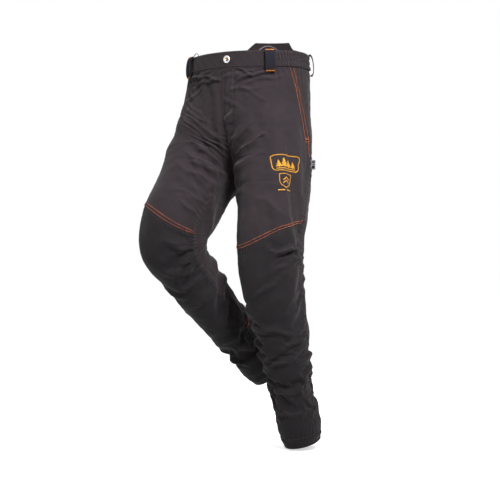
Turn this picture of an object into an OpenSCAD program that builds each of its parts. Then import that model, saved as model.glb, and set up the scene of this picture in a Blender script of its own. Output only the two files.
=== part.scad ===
// Chainsaw protective trousers, worn shape: right knee raised and bent, left leg standing.
// Millimetres. Origin at the centre of the waist opening, level with the front edge of the
// waistband. +Z up, -Y to the front, +X to the wearer's left.

/* [Waist] */
// Half of the waist's width
waist_half_w = 165; // [158:1:172]
// Half of the waist's depth, front to back
waist_half_d = 136; // [128:1:142]
// Height of the waistband
band_h = 42; // [38:1:46]
// How far the waistband's back edge stands above its front edge
back_rise = 47; // [40:1:55]
// How far the kidney flap stands above the back waistband
flap_rise = 28; // [15:1:30]

/* [Legs] */
// Hip joint to knee
thigh_len = 371; // [360:1:385]
// Knee to hem
shin_len = 492; // [480:1:505]
// Forward lift of the left and right thigh, degrees
thigh_lift = [17.3, 32.6]; // [0:0.1:45]
// Outward lean of the left and right thigh, degrees
thigh_lean = [3.4, 7.7]; // [0:0.1:12]
// Forward lift of the left and right shin, degrees, negative to the back
shin_lift = [-12.4, -41.3]; // [-60:0.1:0]
// Outward lean of the left and right shin, degrees
shin_lean = [6.1, -15.7]; // [-20:0.1:8]

/* [Cloth] */
// Thickness of the outer cloth
cloth_t = 1.2; // [0.8:0.1:1.6]
// Thickness of the stack of cut-protection layers
pad_t = 6; // [4:0.5:7]
// Thickness of the lining
lining_t = 0.9; // [0.6:0.1:1.2]
// Air between the outer cloth and the stack of layers
layer_gap = 2.4; // [2:0.2:3]

/* [Trim] */
// Width of a belt loop
loop_w = 28; // [24:1:32]
// Length of a belt loop, top bar to bottom bar
loop_h = 58; // [54:1:62]
// Gap that a belt loop leaves for a belt
loop_gap = 9; // [8:0.5:10]
// Radius of the waist button
button_r = 10; // [8:0.5:11]
// Travel of the fly zip's slider
zip_travel = 115; // [90:1:120]

/* [Hidden] */

LEFT = 0;
RIGHT = 1;
outer_colour = [0.26, 0.23, 0.24];
dark_colour = [0.15, 0.14, 0.15];
web_colour = [0.09, 0.09, 0.12];
orange = [0.95, 0.5, 0.1];
yellow = [0.98, 0.68, 0.05];
steel = [0.8, 0.8, 0.82];
pad_colour = [0.85, 0.8, 0.6];
lining_colour = [0.2, 0.2, 0.22];

hip_x = 88;                     // hip joint, to each side
hip_y = 5;                      // hip joint, behind the waist's centre
hip_drop = 185;                 // hip joint, below the waist's front edge
waist_s = -hip_drop;            // s runs down a leg: waist, 0 at the hip joint, then to the hem
crotch_s = 120;                 // the row at which the two legs part
crotch_y = -40;
rise_s = -40;                   // below this row the centre seam curves in to the crotch
leg_s = thigh_len + shin_len;   // the hem
hip_round = 90;                 // reach of the bend at the hip, each way
knee_round = 100;               // reach of the bend at the knee, each way
knee_reach = 110;               // cloth that bends with the knee, each way
crease_top = -60;               // cloth that bends with the hip starts here
outseam = 0.09;                 // side seam, as a share of the way from front to back
ankle_s = leg_s - 170;          // top of the ankle reinforcement
hem_h = 30;
seam_gap = 0.003;               // keeps two panels apart where they meet at a seam

// Small sums
function clamp01(t) = min(max(t, 0), 1);
function smooth(t) = let (c = clamp01(t)) c * c * (3 - 2 * c);
function mix(a, b, t) = a + (b - a) * t;
function unit(v) = v / norm(v);
function sgn(side) = side == LEFT ? 1 : -1;
function lean(side, lift, out) =
    [sgn(side) * sin(out), -sin(lift) * cos(out), -cos(lift) * cos(out)];

// The two legs' skeletons
function thigh_dir(side) = lean(side, thigh_lift[side], thigh_lean[side]);
function shin_dir(side) = lean(side, shin_lift[side], shin_lean[side]);
function hip(side) = [sgn(side) * hip_x, hip_y, -hip_drop];
function knee(side) = hip(side) + thigh_len * thigh_dir(side);
function knee_axis(side) = unit(cross(thigh_dir(side), shin_dir(side)));
function bend(p, d0, d1, reach, t) =
    mix(mix(p - reach * d0, p, t), mix(p, p + reach * d1, t), t);

// Half widths of a section, by distance down the leg
function crotch_x(side) = hip_x + crotch_s * abs(thigh_dir(side)[0]);
function centre_x(side, s) = s >= crotch_s ? hip_x + s * abs(thigh_dir(side)[0]) :
    lookup(s, [[-185, 0], [-140, 3], [-60, 18], [0, 40], [60, 68], [crotch_s, crotch_x(side)]]);
function half_side(side, s) = lookup(s, [
    [-185, waist_half_w], [-140, waist_half_w], [-60, 153], [0, 138], [60, 120],
    [crotch_s, crotch_x(side)], [160, 96], [200, 92], [286, 88], [371, 83], [440, 77], [520, 68],
    [620, 59],
    [720, 53], [815, 55], [leg_s, 46]]);
function half_front(s) = lookup(s, [
    [-185, waist_half_d], [-140, 138], [-60, 141], [0, 138], [60, 124], [crotch_s, 110], [200, 100],
    [286, 94], [371, 88], [440, 80], [520, 73], [620, 66], [720, 62], [815, 63], [leg_s, 54]]);
function half_back(s) = lookup(s, [
    [-260, waist_half_d - 6], [-185, waist_half_d], [-140, 142], [-60, 154], [0, 154], [60, 137],
    [crotch_s, 112], [200, 100], [286, 93], [371, 86], [440, 84], [520, 78], [620, 69], [720, 63],
    [815, 64], [leg_s, 55]]);

// Centre and axes of the section at s
function spine(side, s) =
    let (d0 = [0, 0, -1], d1 = thigh_dir(side), d2 = shin_dir(side), h = hip(side), k = knee(side))
    s < -hip_round ? [h[0], hip_y * smooth((s - waist_s) / (-hip_round - waist_s)), -hip_drop - s] :
    s < hip_round ? bend(h, d0, d1, hip_round, (s + hip_round) / (2 * hip_round)) :
    s < thigh_len - knee_round ? h + s * d1 :
    s < thigh_len + knee_round
        ? bend(k, d1, d2, knee_round, (s - thigh_len + knee_round) / (2 * knee_round))
        : k + (s - thigh_len) * d2;
function centre(side, s) =
    let (c = spine(side, s)) s < crotch_s ? [sgn(side) * centre_x(side, s), c[1], c[2]] : c;
function down(side, s) =
    let (d1 = thigh_dir(side), level = unit([0, d1[1], d1[2]]))
    s < crotch_s ? unit(mix([0, 0, -1], level, smooth((s + 60) / 180))) :
    s < 240 ? unit(mix(level, d1, smooth((s - crotch_s) / (240 - crotch_s)))) :
    unit(mix(d1, shin_dir(side), smooth((s - thigh_len + knee_round) / (2 * knee_round))));
function to_side(side, s) =
    let (d = down(side, s), raw = mix([1, 0, 0], knee_axis(side), smooth((s - crotch_s) / 150)))
    sgn(side) * unit(raw - (raw * d) * d);
function to_front(side, s) = sgn(side) * cross(down(side, s), to_side(side, s));

// Seam down the middle of the body, front (turn < 0) or back, shared by both halves
function rise(turn, s) =
    let (deep = sign(turn) * (turn < 0 ? half_front(min(s, rise_s)) : half_back(min(s, rise_s))),
         round = sqrt(max(0, 1 - pow(max(0, s - rise_s) / (crotch_s - rise_s), 2))))
    [0, mix(crotch_y, deep, round), -hip_drop - s];

// Fullness of the worn cloth: [height, row, reach along the leg, turn, reach round the leg]
fullness = [
    [[11, 140, 55, -0.78, 0.24]],
    [[24, -8, 85, -0.42, 0.32], [9, 150, 90, -0.4, 0.4], [13, 325, 75, -0.45, 0.5],
     [-8, 462, 48, -0.45, 0.5]],
];
function bell(x) = exp(-x * x);
function full(side, s, turn) =
    let (h = [for (f = fullness[side]) f[0] * bell((s - f[1]) / f[2]) * bell((turn - f[3]) / f[4])])
    h * [for (i = h) 1];

// Point of the cloth: turn runs from -1 at the front seam, by 0 at the side, to 1 at the back
// seam, and off is the distance outside the cloth's outer face.
function swing(side, s) = s >= crotch_s ? 180 : acos(-clamp01(centre_x(side, s) / half_side(side, s)));
function ring(side, s, turn, off) =
    let (q = turn * swing(side, s), a = half_side(side, s), b = turn < 0 ? half_front(s) : half_back(s),
         u = to_side(side, s), f = to_front(side, s), n = unit(u * cos(q) / a - f * sin(q) / b))
    centre(side, s) + u * a * cos(q) - f * b * sin(q) + n * (off + full(side, s, turn));
function cloth(side, s, turn, off) =
    let (r = min(s, crotch_s), end = turn < 0 ? -1 : 1, hold = smooth((abs(turn) - 0.4) / 0.6),
         fade = 1 - smooth((s - crotch_s) / 60),
         p = ring(side, s, turn, off) + hold * fade * (rise(end, r) - ring(side, r, end, 0)))
    s < crotch_s ? [sgn(side) * max(sgn(side) * p[0], 0), p[1], p[2]] : p;

// A panel of cloth between two rows and over a list of turns, each row point given by a function
// of (share of the way down, index of turn, off).
module sheet_solid(n_row, n_turn, at, outer, inner, flip) {
    w = n_turn + 1;
    skin = (n_row + 1) * w;
    pts = [for (off = [outer, inner]) for (j = [0:n_row]) for (i = [0:n_turn]) at(j / n_row, i, off)];
    function quad(a, b, c, d) = flip ? [[a, c, b], [a, d, c]] : [[a, b, c], [a, c, d]];
    faces = [
        for (j = [0:n_row - 1]) for (i = [0:n_turn - 1]) let (k = j * w + i)
            each quad(k, k + 1, k + w + 1, k + w),
        for (j = [0:n_row - 1]) for (i = [0:n_turn - 1]) let (k = skin + j * w + i)
            each quad(k, k + w, k + w + 1, k + 1),
        for (i = [0:n_turn - 1]) each quad(i, skin + i, skin + i + 1, i + 1),
        for (i = [0:n_turn - 1]) let (k = n_row * w + i) each quad(k, k + 1, skin + k + 1, skin + k),
        for (j = [0:n_row - 1]) let (k = j * w) each quad(k, k + w, skin + k + w, skin + k),
        for (j = [0:n_row - 1]) let (k = j * w + n_turn)
            each quad(k, skin + k, skin + k + w, k + w),
    ];
    polyhedron(pts, faces, convexity = 8);
}

// A panel on one leg: top and bottom are functions of turn that give s.
module leg_panel(side, turns, n_row, top, bottom, outer, inner) {
    at = function (t, i, off)
        cloth(side, mix(top(turns[i]), bottom(turns[i]), t), turns[i], off);
    sheet_solid(n_row, len(turns) - 1, at, outer, inner, side == LEFT);
}

// Round the waist: way runs 0 at the front middle, 1 left side, 2 back middle, 3 right side, 4.
function way_side(way) = way > 2 || way < 0 ? RIGHT : LEFT;
function way_turn(way) = way < 0 ? -way - 1 : way > 2 ? 3 - way : way - 1;
waist_top = function (turn)
    waist_s - 5 * smooth((turn + 0.6) / 0.6) - (back_rise - 5) * smooth((turn - 0.15) / 0.75);
module waist_panel(from, to, n_way, n_row, top, bottom, outer, inner) {
    at = function (t, i, off)
        let (way = mix(from, to, i / n_way), turn = way_turn(way))
        cloth(way_side(way), mix(top(turn), bottom(turn), t), turn, off);
    sheet_solid(n_row, n_way, at, outer, inner, true);
}

// Turns that every layer of a leg shares, so that their faces lie parallel
front_turns = [for (i = [0:10]) mix(-1 + seam_gap, outseam - seam_gap, i / 10)];
back_turns = [for (i = [0:9]) mix(outseam + seam_gap, 1 - seam_gap, i / 9)];
pad_turns = [for (i = [1:9]) front_turns[i]];
lining_turns = concat([for (i = [0:9]) front_turns[i]], [for (i = [1:9]) back_turns[i]]);

// Depths of the layers under the outer face
pad_off = -cloth_t - layer_gap;
lining_off = pad_off - pad_t - 1;

// Rows where one group of panels ends and the next starts
band_bottom = function (turn) waist_top(turn) + band_h;
crease_row = function (turn) crease_top;
thigh_row = function (turn) 62 + 110 * smooth((abs(turn) - 0.35) / 0.5);
knee_row = function (turn) thigh_len - knee_reach;
knee_seam = [[300, -19, -41], [317, -32, 2]]; // middle, and rise to the side and to the back
function seam_row(side) = function (turn)
    knee_seam[side] * [1, cos(180 * turn), sin(180 * turn)];
shin_row = function (turn) thigh_len + knee_reach;
ankle_row = function (turn) ankle_s;
hem_row = function (turn) leg_s - hem_h;
end_row = function (turn) leg_s;
function below(row, d) = function (turn) row(turn) + d;

// Waistband
fly_edge = -0.017; // where the wearer's left side laps over the right
module waistband_front(way0, way1, outer) {
    color(outer_colour)
        waist_panel(way0, way1, 8, 2, waist_top, below(band_bottom, -0.4), outer, outer - 3);
}
module waistband_front_left() waistband_front(fly_edge, 0.62, 2.2);
module waistband_front_right() waistband_front(-0.62, fly_edge - 0.003, 2.2);
module waistband_back() {
    color(outer_colour)
        waist_panel(0.625, 3.375, 26, 2, waist_top, below(band_bottom, -0.4), 2.2, -0.8);
}
module waist_elastic() {
    color(web_colour)
        waist_panel(0.625, 3.375, 26, 1, below(waist_top, 4), below(waist_top, band_h - 4), -2, -3.2);
}
module kidney_flap() {
    flap_half = 0.34;
    edge = function (turn) waist_top(turn) - flap_rise * smooth((turn - (1 - flap_half)) / 0.14);
    color(outer_colour)
        waist_panel(2 - flap_half, 2 + flap_half, 16, 3, edge, below(waist_top, 30), -4.2, -5.7);
}
module button_disc() {
    thick = 3.4;
    recess_r = button_r * 0.42;
    rotate([90, 0, 0]) difference() {
        cylinder(r = button_r, h = thick, $fn = 64);
        translate([0, 0, thick - 1.4]) cylinder(r = recess_r, h = 3, $fn = 48);
        translate([0, 0, -1]) cylinder(r = tack_r + 0.06, h = 2.6, $fn = 48);
    }
}
button_x = 13.5;
button_y = -waist_half_d - 3.6;
button_z = -21;
tack_r = 1.6;
module button_cap() color(steel) translate([button_x, button_y, button_z]) button_disc();
module button_tack() {
    into_cap = 1.3;
    shank = 7.4;
    color(steel) translate([button_x, button_y - into_cap, button_z]) rotate([-90, 0, 0]) {
        cylinder(r = tack_r, h = shank, $fn = 48);
        translate([0, 0, shank]) cylinder(r = 4.5, h = 1, $fn = 40);
    }
}

// Belt loops and hanger loops
module along_band(way) {
    turn = way_turn(way);
    side = way_side(way);
    mid = waist_top(turn) + loop_h / 2 - 4;
    e = 0.02;
    right = unit(cloth(way_side(way + e), mid, way_turn(way + e), 0)
                 - cloth(way_side(way - e), mid, way_turn(way - e), 0));
    high = cloth(side, mid - loop_h / 2, turn, 2.5);
    low = cloth(side, mid + loop_h / 2, turn, 2.5);
    z = unit(high - low);
    x = unit(right - (right * z) * z);
    y = cross(z, x);
    c = (high + low) / 2;
    multmatrix([[x[0], y[0], z[0], c[0]], [x[1], y[1], z[1], c[1]], [x[2], y[2], z[2], c[2]]])
        children();
}
module belt_loop(way) {
    t = 1.8;
    high = loop_h / 2;
    outside = [for (i = [0:12]) let (q = -90 + 15 * i) [(loop_gap + t) * pow(cos(q), 0.6), high * sin(q)]];
    inside = [for (i = [12:-1:0]) let (q = -90 + 15 * i) [loop_gap * pow(cos(q), 0.6), (high - 2.6) * sin(q)]];
    color(web_colour) along_band(way) translate([-loop_w / 2, 0, 0]) rotate([90, 0, 90])
        linear_extrude(loop_w) mirror([1, 0]) polygon(concat(outside, inside));
}
front_way = 0.49;
side_way = 1.24;
module belt_loop_front_left() belt_loop(front_way);
module belt_loop_front_right() belt_loop(4 - front_way);
module belt_loop_side_left() belt_loop(side_way);
module belt_loop_side_right() belt_loop(4 - side_way);
module belt_loop_back() belt_loop(2);
function loop_yaw(way) =
    let (e = 0.02, a = cloth(way_side(way), waist_s, way_turn(way - e), 0),
         b = cloth(way_side(way), waist_s, way_turn(way + e), 0)) atan2(b[1] - a[1], b[0] - a[0]);
module hanger_loops() {
    reach = 32;
    cord_r = 1.1;
    for (way = [front_way, 4 - front_way]) {
        base = cloth(way_side(way), waist_s, way_turn(way), -8.2);
        color(steel) translate(base - [0, 0, 20]) rotate([0, 0, loop_yaw(way)]) rotate([90, 0, 0])
            rotate_extrude(angle = 180, $fn = 64) translate([reach, 0]) circle(r = cord_r, $fn = 24);
    }
}

// Fly
zip_y = -124;
zip_top = -46;
zip_len = zip_travel + 18;
module fly_placket() {
    color(outer_colour)
        waist_panel(fly_edge, 0.13, 6, 7, below(band_bottom, 0.4), function (turn) -2, 1.6, 0.4);
}
module fly_shield() {
    color(outer_colour) translate([-18, zip_y + 5, zip_top - zip_len]) cube([44, 1, zip_len]);
}
module fly_zip_tapes() {
    for (m = [0, 1]) color(web_colour) mirror([m, 0, 0])
        translate([2.6, zip_y - 0.4, zip_top - zip_len]) cube([11.4, 0.8, zip_len]);
}
module fly_zip_teeth() {
    pitch = 3;
    for (m = [0, 1]) for (i = [0:floor(zip_len / pitch) - 1]) color(steel) mirror([m, 0, 0])
        translate([0.8, zip_y - 1.1, zip_top - 2 - pitch * (i + m / 2)]) cube([1.7, 2.2, pitch / 2]);
}
module fly_zip_slider() {
    body_w = 9;
    body_h = 12;
    gap_y = 1.6;
    lug_r = 1.9;
    color(steel) translate([0, zip_y, zip_top - 8]) difference() {
        union() {
            translate([-body_w / 2, -3.2, -body_h / 2]) cube([body_w, 6.4, body_h]);
            translate([-1.4, -4.8, 1.5]) rotate([0, 90, 0]) cylinder(r = lug_r, h = 2.8, $fn = 32);
            translate([-1.4, -4.8, 1.5 - lug_r]) cube([2.8, 2.2, 2 * lug_r]);
        }
        translate([-body_w, -gap_y, -body_h]) cube([2 * body_w, 2 * gap_y, 2 * body_h]);
        translate([-3, -4.8, 1.5]) rotate([0, 90, 0]) cylinder(r = 0.95, h = 6, $fn = 32);
    }
    color(steel) translate([-0.4, zip_y - 3.2, zip_top - 5]) cube([0.8, 6.4, 2.6]);
}
module fly_zip_puller() {
    tab_w = 6;
    color(steel) translate([0, zip_y - 4.8, zip_top - 6.5]) {
        rotate([0, 90, 0]) translate([0, 0, -tab_w / 2]) cylinder(r = 0.9, h = tab_w, $fn = 32);
        for (m = [-1, 1]) translate([m * 2.45 - 0.55, -0.8, -4.5]) cube([1.1, 1.6, 4.5]);
        translate([-tab_w / 2, -0.7, -24]) cube([tab_w, 1.4, 20]);
    }
}

// Upper panels
module front_yoke() {
    yoke_h = 34;
    for (ways = [[0.135, 0.52], [-0.52, fly_edge - 0.003]]) color(outer_colour)
        waist_panel(ways[0], ways[1], 6, 3, below(band_bottom, 0.4), below(band_bottom, yoke_h), 1.6, 0.4);
}
module hip_front(side) {
    color(outer_colour)
        leg_panel(side, front_turns, 4, band_bottom, crease_row, 0, -cloth_t);
}
module seat(side) {
    color(outer_colour)
        leg_panel(side, back_turns, 6, band_bottom, crease_row, 0, -cloth_t);
}
module hip_crease(side) {
    color(outer_colour) leg_panel(side, concat(front_turns, back_turns), 8, below(crease_row, 0.3),
                                  below(thigh_row, -0.3), 0, -cloth_t);
}
module hip_front_left() hip_front(LEFT);
module hip_front_right() hip_front(RIGHT);
module seat_left() seat(LEFT);
module seat_right() seat(RIGHT);
module hip_crease_left() hip_crease(LEFT);
module hip_crease_right() hip_crease(RIGHT);
module pocket_bag(side) {
    turns = [for (i = [0:6]) mix(front_turns[5], front_turns[9], i / 6)];
    color(lining_colour) leg_panel(side, turns, 5, below(band_bottom, 6), below(crease_row, -6),
                                   -cloth_t - 1.6, -cloth_t - 3.2);
}
module pocket_bag_left() pocket_bag(LEFT);
module pocket_bag_right() pocket_bag(RIGHT);

// Back pocket on the right seat, with a flap that lifts
pocket_from = 2.24;
pocket_to = 2.72;
pocket_s = -118;
module back_pocket() {
    color(outer_colour) waist_panel(pocket_from, pocket_to, 8, 5, function (turn) pocket_s + 8,
                                    function (turn) crease_top - 1, 1.9, 0.5);
}
module back_pocket_flap() {
    color(outer_colour) waist_panel(pocket_from - 0.015, pocket_to + 0.015, 8, 3,
                                    function (turn) pocket_s, function (turn) pocket_s + 42, 4.2, 2.6);
}

// Leg panels
module front_thigh(side) color(outer_colour)
    leg_panel(side, front_turns, 6, thigh_row, seam_row(side), 0, -cloth_t);
module back_thigh(side) color(outer_colour)
    leg_panel(side, back_turns, 5, thigh_row, knee_row, 0, -cloth_t);
module thigh_pad(side) color(pad_colour)
    leg_panel(side, pad_turns, 5, thigh_row, below(knee_row, -0.3), pad_off, pad_off - pad_t);
module thigh_lining(side) color(lining_colour)
    leg_panel(side, lining_turns, 5, thigh_row, knee_row, lining_off, lining_off - lining_t);
module knee_front(side) color(dark_colour)
    leg_panel(side, front_turns, 7, below(seam_row(side), 0.3), below(shin_row, -0.3), 0, -cloth_t);
module knee_back(side) color(outer_colour)
    leg_panel(side, back_turns, 8, below(knee_row, 0.3), below(shin_row, -0.3), 0, -cloth_t);
module knee_pad(side) color(pad_colour)
    leg_panel(side, pad_turns, 8, knee_row, shin_row, pad_off, pad_off - pad_t);
module shin_front(side) color(dark_colour)
    leg_panel(side, front_turns, 7, shin_row, below(hem_row, -0.3), 0, -cloth_t);
module calf_back(side) color(outer_colour)
    leg_panel(side, back_turns, 5, shin_row, below(ankle_row, -0.3), 0, -cloth_t);
module ankle_back(side) color(dark_colour)
    leg_panel(side, back_turns, 4, ankle_row, below(hem_row, -0.3), 0, -cloth_t);
module shin_pad(side) color(pad_colour)
    leg_panel(side, pad_turns, 7, below(shin_row, 0.3), below(hem_row, -10), pad_off, pad_off - pad_t);
module shin_lining(side) color(lining_colour)
    leg_panel(side, lining_turns, 7, shin_row, below(hem_row, -0.3), lining_off, lining_off - lining_t);
module hem_band(side) color(dark_colour)
    leg_panel(side, concat(front_turns, back_turns), 3, hem_row, end_row, 0, -2.4);

module front_thigh_left() front_thigh(LEFT);
module front_thigh_right() front_thigh(RIGHT);
module back_thigh_left() back_thigh(LEFT);
module back_thigh_right() back_thigh(RIGHT);
module thigh_pad_left() thigh_pad(LEFT);
module thigh_pad_right() thigh_pad(RIGHT);
module thigh_lining_left() thigh_lining(LEFT);
module thigh_lining_right() thigh_lining(RIGHT);
module knee_front_left() knee_front(LEFT);
module knee_front_right() knee_front(RIGHT);
module knee_back_left() knee_back(LEFT);
module knee_back_right() knee_back(RIGHT);
module knee_pad_left() knee_pad(LEFT);
module knee_pad_right() knee_pad(RIGHT);
module shin_front_left() shin_front(LEFT);
module shin_front_right() shin_front(RIGHT);
module calf_back_left() calf_back(LEFT);
module calf_back_right() calf_back(RIGHT);
module ankle_back_left() ankle_back(LEFT);
module ankle_back_right() ankle_back(RIGHT);
module shin_pad_left() shin_pad(LEFT);
module shin_pad_right() shin_pad(RIGHT);
module shin_lining_left() shin_lining(LEFT);
module shin_lining_right() shin_lining(RIGHT);
module hem_band_left() hem_band(LEFT);
module hem_band_right() hem_band(RIGHT);

// Label in the side seam and the two printed badges on the left thigh
module side_label() {
    p = cloth(LEFT, 97, outseam, 0.3);
    color(steel) translate(p) rotate([0, 0, 8]) translate([0, -0.8, -13]) cube([13, 1.6, 26]);
}
badge_mid = -0.29;
module badge(s0, height, turn0, turn1) {
    turns = [for (i = [0:6]) mix(turn0, turn1, i / 6)];
    level = function (turn) s0 - 68 * (turn - badge_mid);
    color(yellow) leg_panel(LEFT, turns, 4, level, below(level, height), 1.2, 0.6);
}
module thigh_badge() badge(109, 44, -0.375, -0.098);
module shield_badge() badge(163, 50, -0.3, -0.135);

waistband_front_left();
waistband_front_right();
waistband_back();
waist_elastic();
kidney_flap();
belt_loop_front_left();
belt_loop_front_right();
belt_loop_side_left();
belt_loop_side_right();
belt_loop_back();
hanger_loops();
button_cap();
button_tack();
fly_placket();
fly_shield();
fly_zip_tapes();
fly_zip_teeth();
fly_zip_slider();
fly_zip_puller();
front_yoke();
hip_front_left();
hip_front_right();
seat_left();
seat_right();
hip_crease_left();
hip_crease_right();
pocket_bag_left();
pocket_bag_right();
back_pocket();
back_pocket_flap();
side_label();
thigh_badge();
shield_badge();
front_thigh_left();
back_thigh_left();
thigh_pad_left();
thigh_lining_left();
knee_front_left();
knee_back_left();
knee_pad_left();
shin_front_left();
calf_back_left();
ankle_back_left();
shin_pad_left();
shin_lining_left();
hem_band_left();
front_thigh_right();
back_thigh_right();
thigh_pad_right();
thigh_lining_right();
knee_front_right();
knee_back_right();
knee_pad_right();
shin_front_right();
calf_back_right();
ankle_back_right();
shin_pad_right();
shin_lining_right();
hem_band_right();
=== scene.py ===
"""Chainsaw protective trousers as worn, right knee raised. Built in metres round the CAD frame."""
import math

import bpy
import numpy as np
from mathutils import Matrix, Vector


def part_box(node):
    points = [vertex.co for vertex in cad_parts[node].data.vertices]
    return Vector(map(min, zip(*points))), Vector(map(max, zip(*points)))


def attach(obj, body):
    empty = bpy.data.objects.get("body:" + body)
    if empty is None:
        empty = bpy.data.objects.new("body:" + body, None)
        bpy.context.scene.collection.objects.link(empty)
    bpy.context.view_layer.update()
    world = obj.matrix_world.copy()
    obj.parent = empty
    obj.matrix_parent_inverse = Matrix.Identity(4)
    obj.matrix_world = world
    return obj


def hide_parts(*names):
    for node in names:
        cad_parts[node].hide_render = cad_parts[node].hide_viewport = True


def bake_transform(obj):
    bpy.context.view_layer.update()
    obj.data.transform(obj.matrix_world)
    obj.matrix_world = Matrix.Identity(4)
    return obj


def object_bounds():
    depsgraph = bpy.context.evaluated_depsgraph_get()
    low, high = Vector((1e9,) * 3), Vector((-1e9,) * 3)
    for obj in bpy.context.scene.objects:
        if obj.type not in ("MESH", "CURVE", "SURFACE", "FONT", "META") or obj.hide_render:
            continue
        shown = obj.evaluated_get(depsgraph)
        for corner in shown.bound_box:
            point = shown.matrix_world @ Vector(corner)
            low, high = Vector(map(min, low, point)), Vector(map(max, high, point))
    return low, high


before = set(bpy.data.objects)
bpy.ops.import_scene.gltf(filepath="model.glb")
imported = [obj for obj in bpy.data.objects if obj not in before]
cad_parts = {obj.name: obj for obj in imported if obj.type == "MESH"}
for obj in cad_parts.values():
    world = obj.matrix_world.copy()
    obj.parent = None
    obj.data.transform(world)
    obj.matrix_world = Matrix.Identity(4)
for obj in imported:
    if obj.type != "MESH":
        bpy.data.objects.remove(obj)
cad_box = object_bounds()
MM = 0.001
SIDES = ("left", "right")
SIGN = (1.0, -1.0)

# ---------------------------------------------------------------- the cloth's surface, in mm
# The same shape as the CAD: s runs down a leg, turn goes round it from -1 (front or inner
# seam) by 0 (side) to 1 (back or inner seam).
WAIST_W, WAIST_D, BAND_H, BACK_RISE = 165.0, 136.0, 42.0, 47.0
WAIST_S, THIGH, HIP_X, HIP_Y, HIP_Z = -185.0, 371.0, 88.0, 5.0, 185.0
CROTCH_S, CROTCH_Y, LEG = 120.0, -40.0, 863.0
ANKLE_S, OUTSEAM, HEM_H = LEG - 170, 0.09, 30
WAY_MM, TURN_MM = 240, 250  # about the cloth's length in a quarter of the waist, and in one turn at the hip
KNEE_SEAM = ((300.0, -19.0, -41.0), (317.0, -32.0, 2.0))


def smooth(t):
    c = np.clip(t, 0, 1)
    return c * c * (3 - 2 * c)


def unit(v):
    v = np.asarray(v, float)
    return v / np.linalg.norm(v, axis=-1, keepdims=True)


def lean(side, lift, out):
    a, b = math.radians(lift), math.radians(out)
    return np.array([SIGN[side] * math.sin(b), -math.sin(a) * math.cos(b), -math.cos(a) * math.cos(b)])


D1 = (lean(0, 17.3, 3.4), lean(1, 32.6, 7.7))
D2 = (lean(0, -12.4, 6.1), lean(1, -41.3, -15.7))
HIP = [np.array([SIGN[k] * HIP_X, HIP_Y, -HIP_Z]) for k in (0, 1)]
FULL = (((11, 140, 55, -0.78, 0.24),),
        ((24, -8, 85, -0.42, 0.32), (9, 150, 90, -0.4, 0.4), (13, 325, 75, -0.45, 0.5),
         (-8, 462, 48, -0.45, 0.5)))


def table(s, rows):
    return np.interp(s, [r[0] for r in rows], [r[1] for r in rows])


def crotch_x(k):
    return HIP_X + CROTCH_S * abs(D1[k][0])


def centre_x(k, s):
    near = table(s, ((-185, 0), (-140, 3), (-60, 18), (0, 40), (60, 68), (CROTCH_S, crotch_x(k))))
    return np.where(s >= CROTCH_S, HIP_X + s * abs(D1[k][0]), near)


def half_side(k, s):
    return table(s, ((-185, WAIST_W), (-140, WAIST_W), (-60, 153), (0, 138), (60, 120),
                     (CROTCH_S, crotch_x(k)), (160, 96), (200, 92), (286, 88), (371, 83), (440, 77),
                     (520, 68), (620, 59), (720, 53), (815, 55), (LEG, 46)))


def half_front(s):
    return table(s, ((-185, WAIST_D), (-140, 138), (-60, 141), (0, 138), (60, 124), (CROTCH_S, 110),
                     (200, 100), (286, 94), (371, 88), (440, 80), (520, 73), (620, 66), (720, 62),
                     (815, 63), (LEG, 54)))


def half_back(s):
    return table(s, ((-260, WAIST_D - 6), (-185, WAIST_D), (-140, 142), (-60, 154), (0, 154), (60, 137),
                     (CROTCH_S, 112), (200, 100), (286, 93), (371, 86), (440, 84), (520, 78),
                     (620, 69), (720, 63), (815, 64), (LEG, 55)))


def bezier(p, d0, d1, reach, t):
    t = t[..., None]
    a, b = p - reach * d0, p + reach * d1
    return (a + (p - a) * t) * (1 - t) + (p + (b - p) * t) * t


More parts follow.
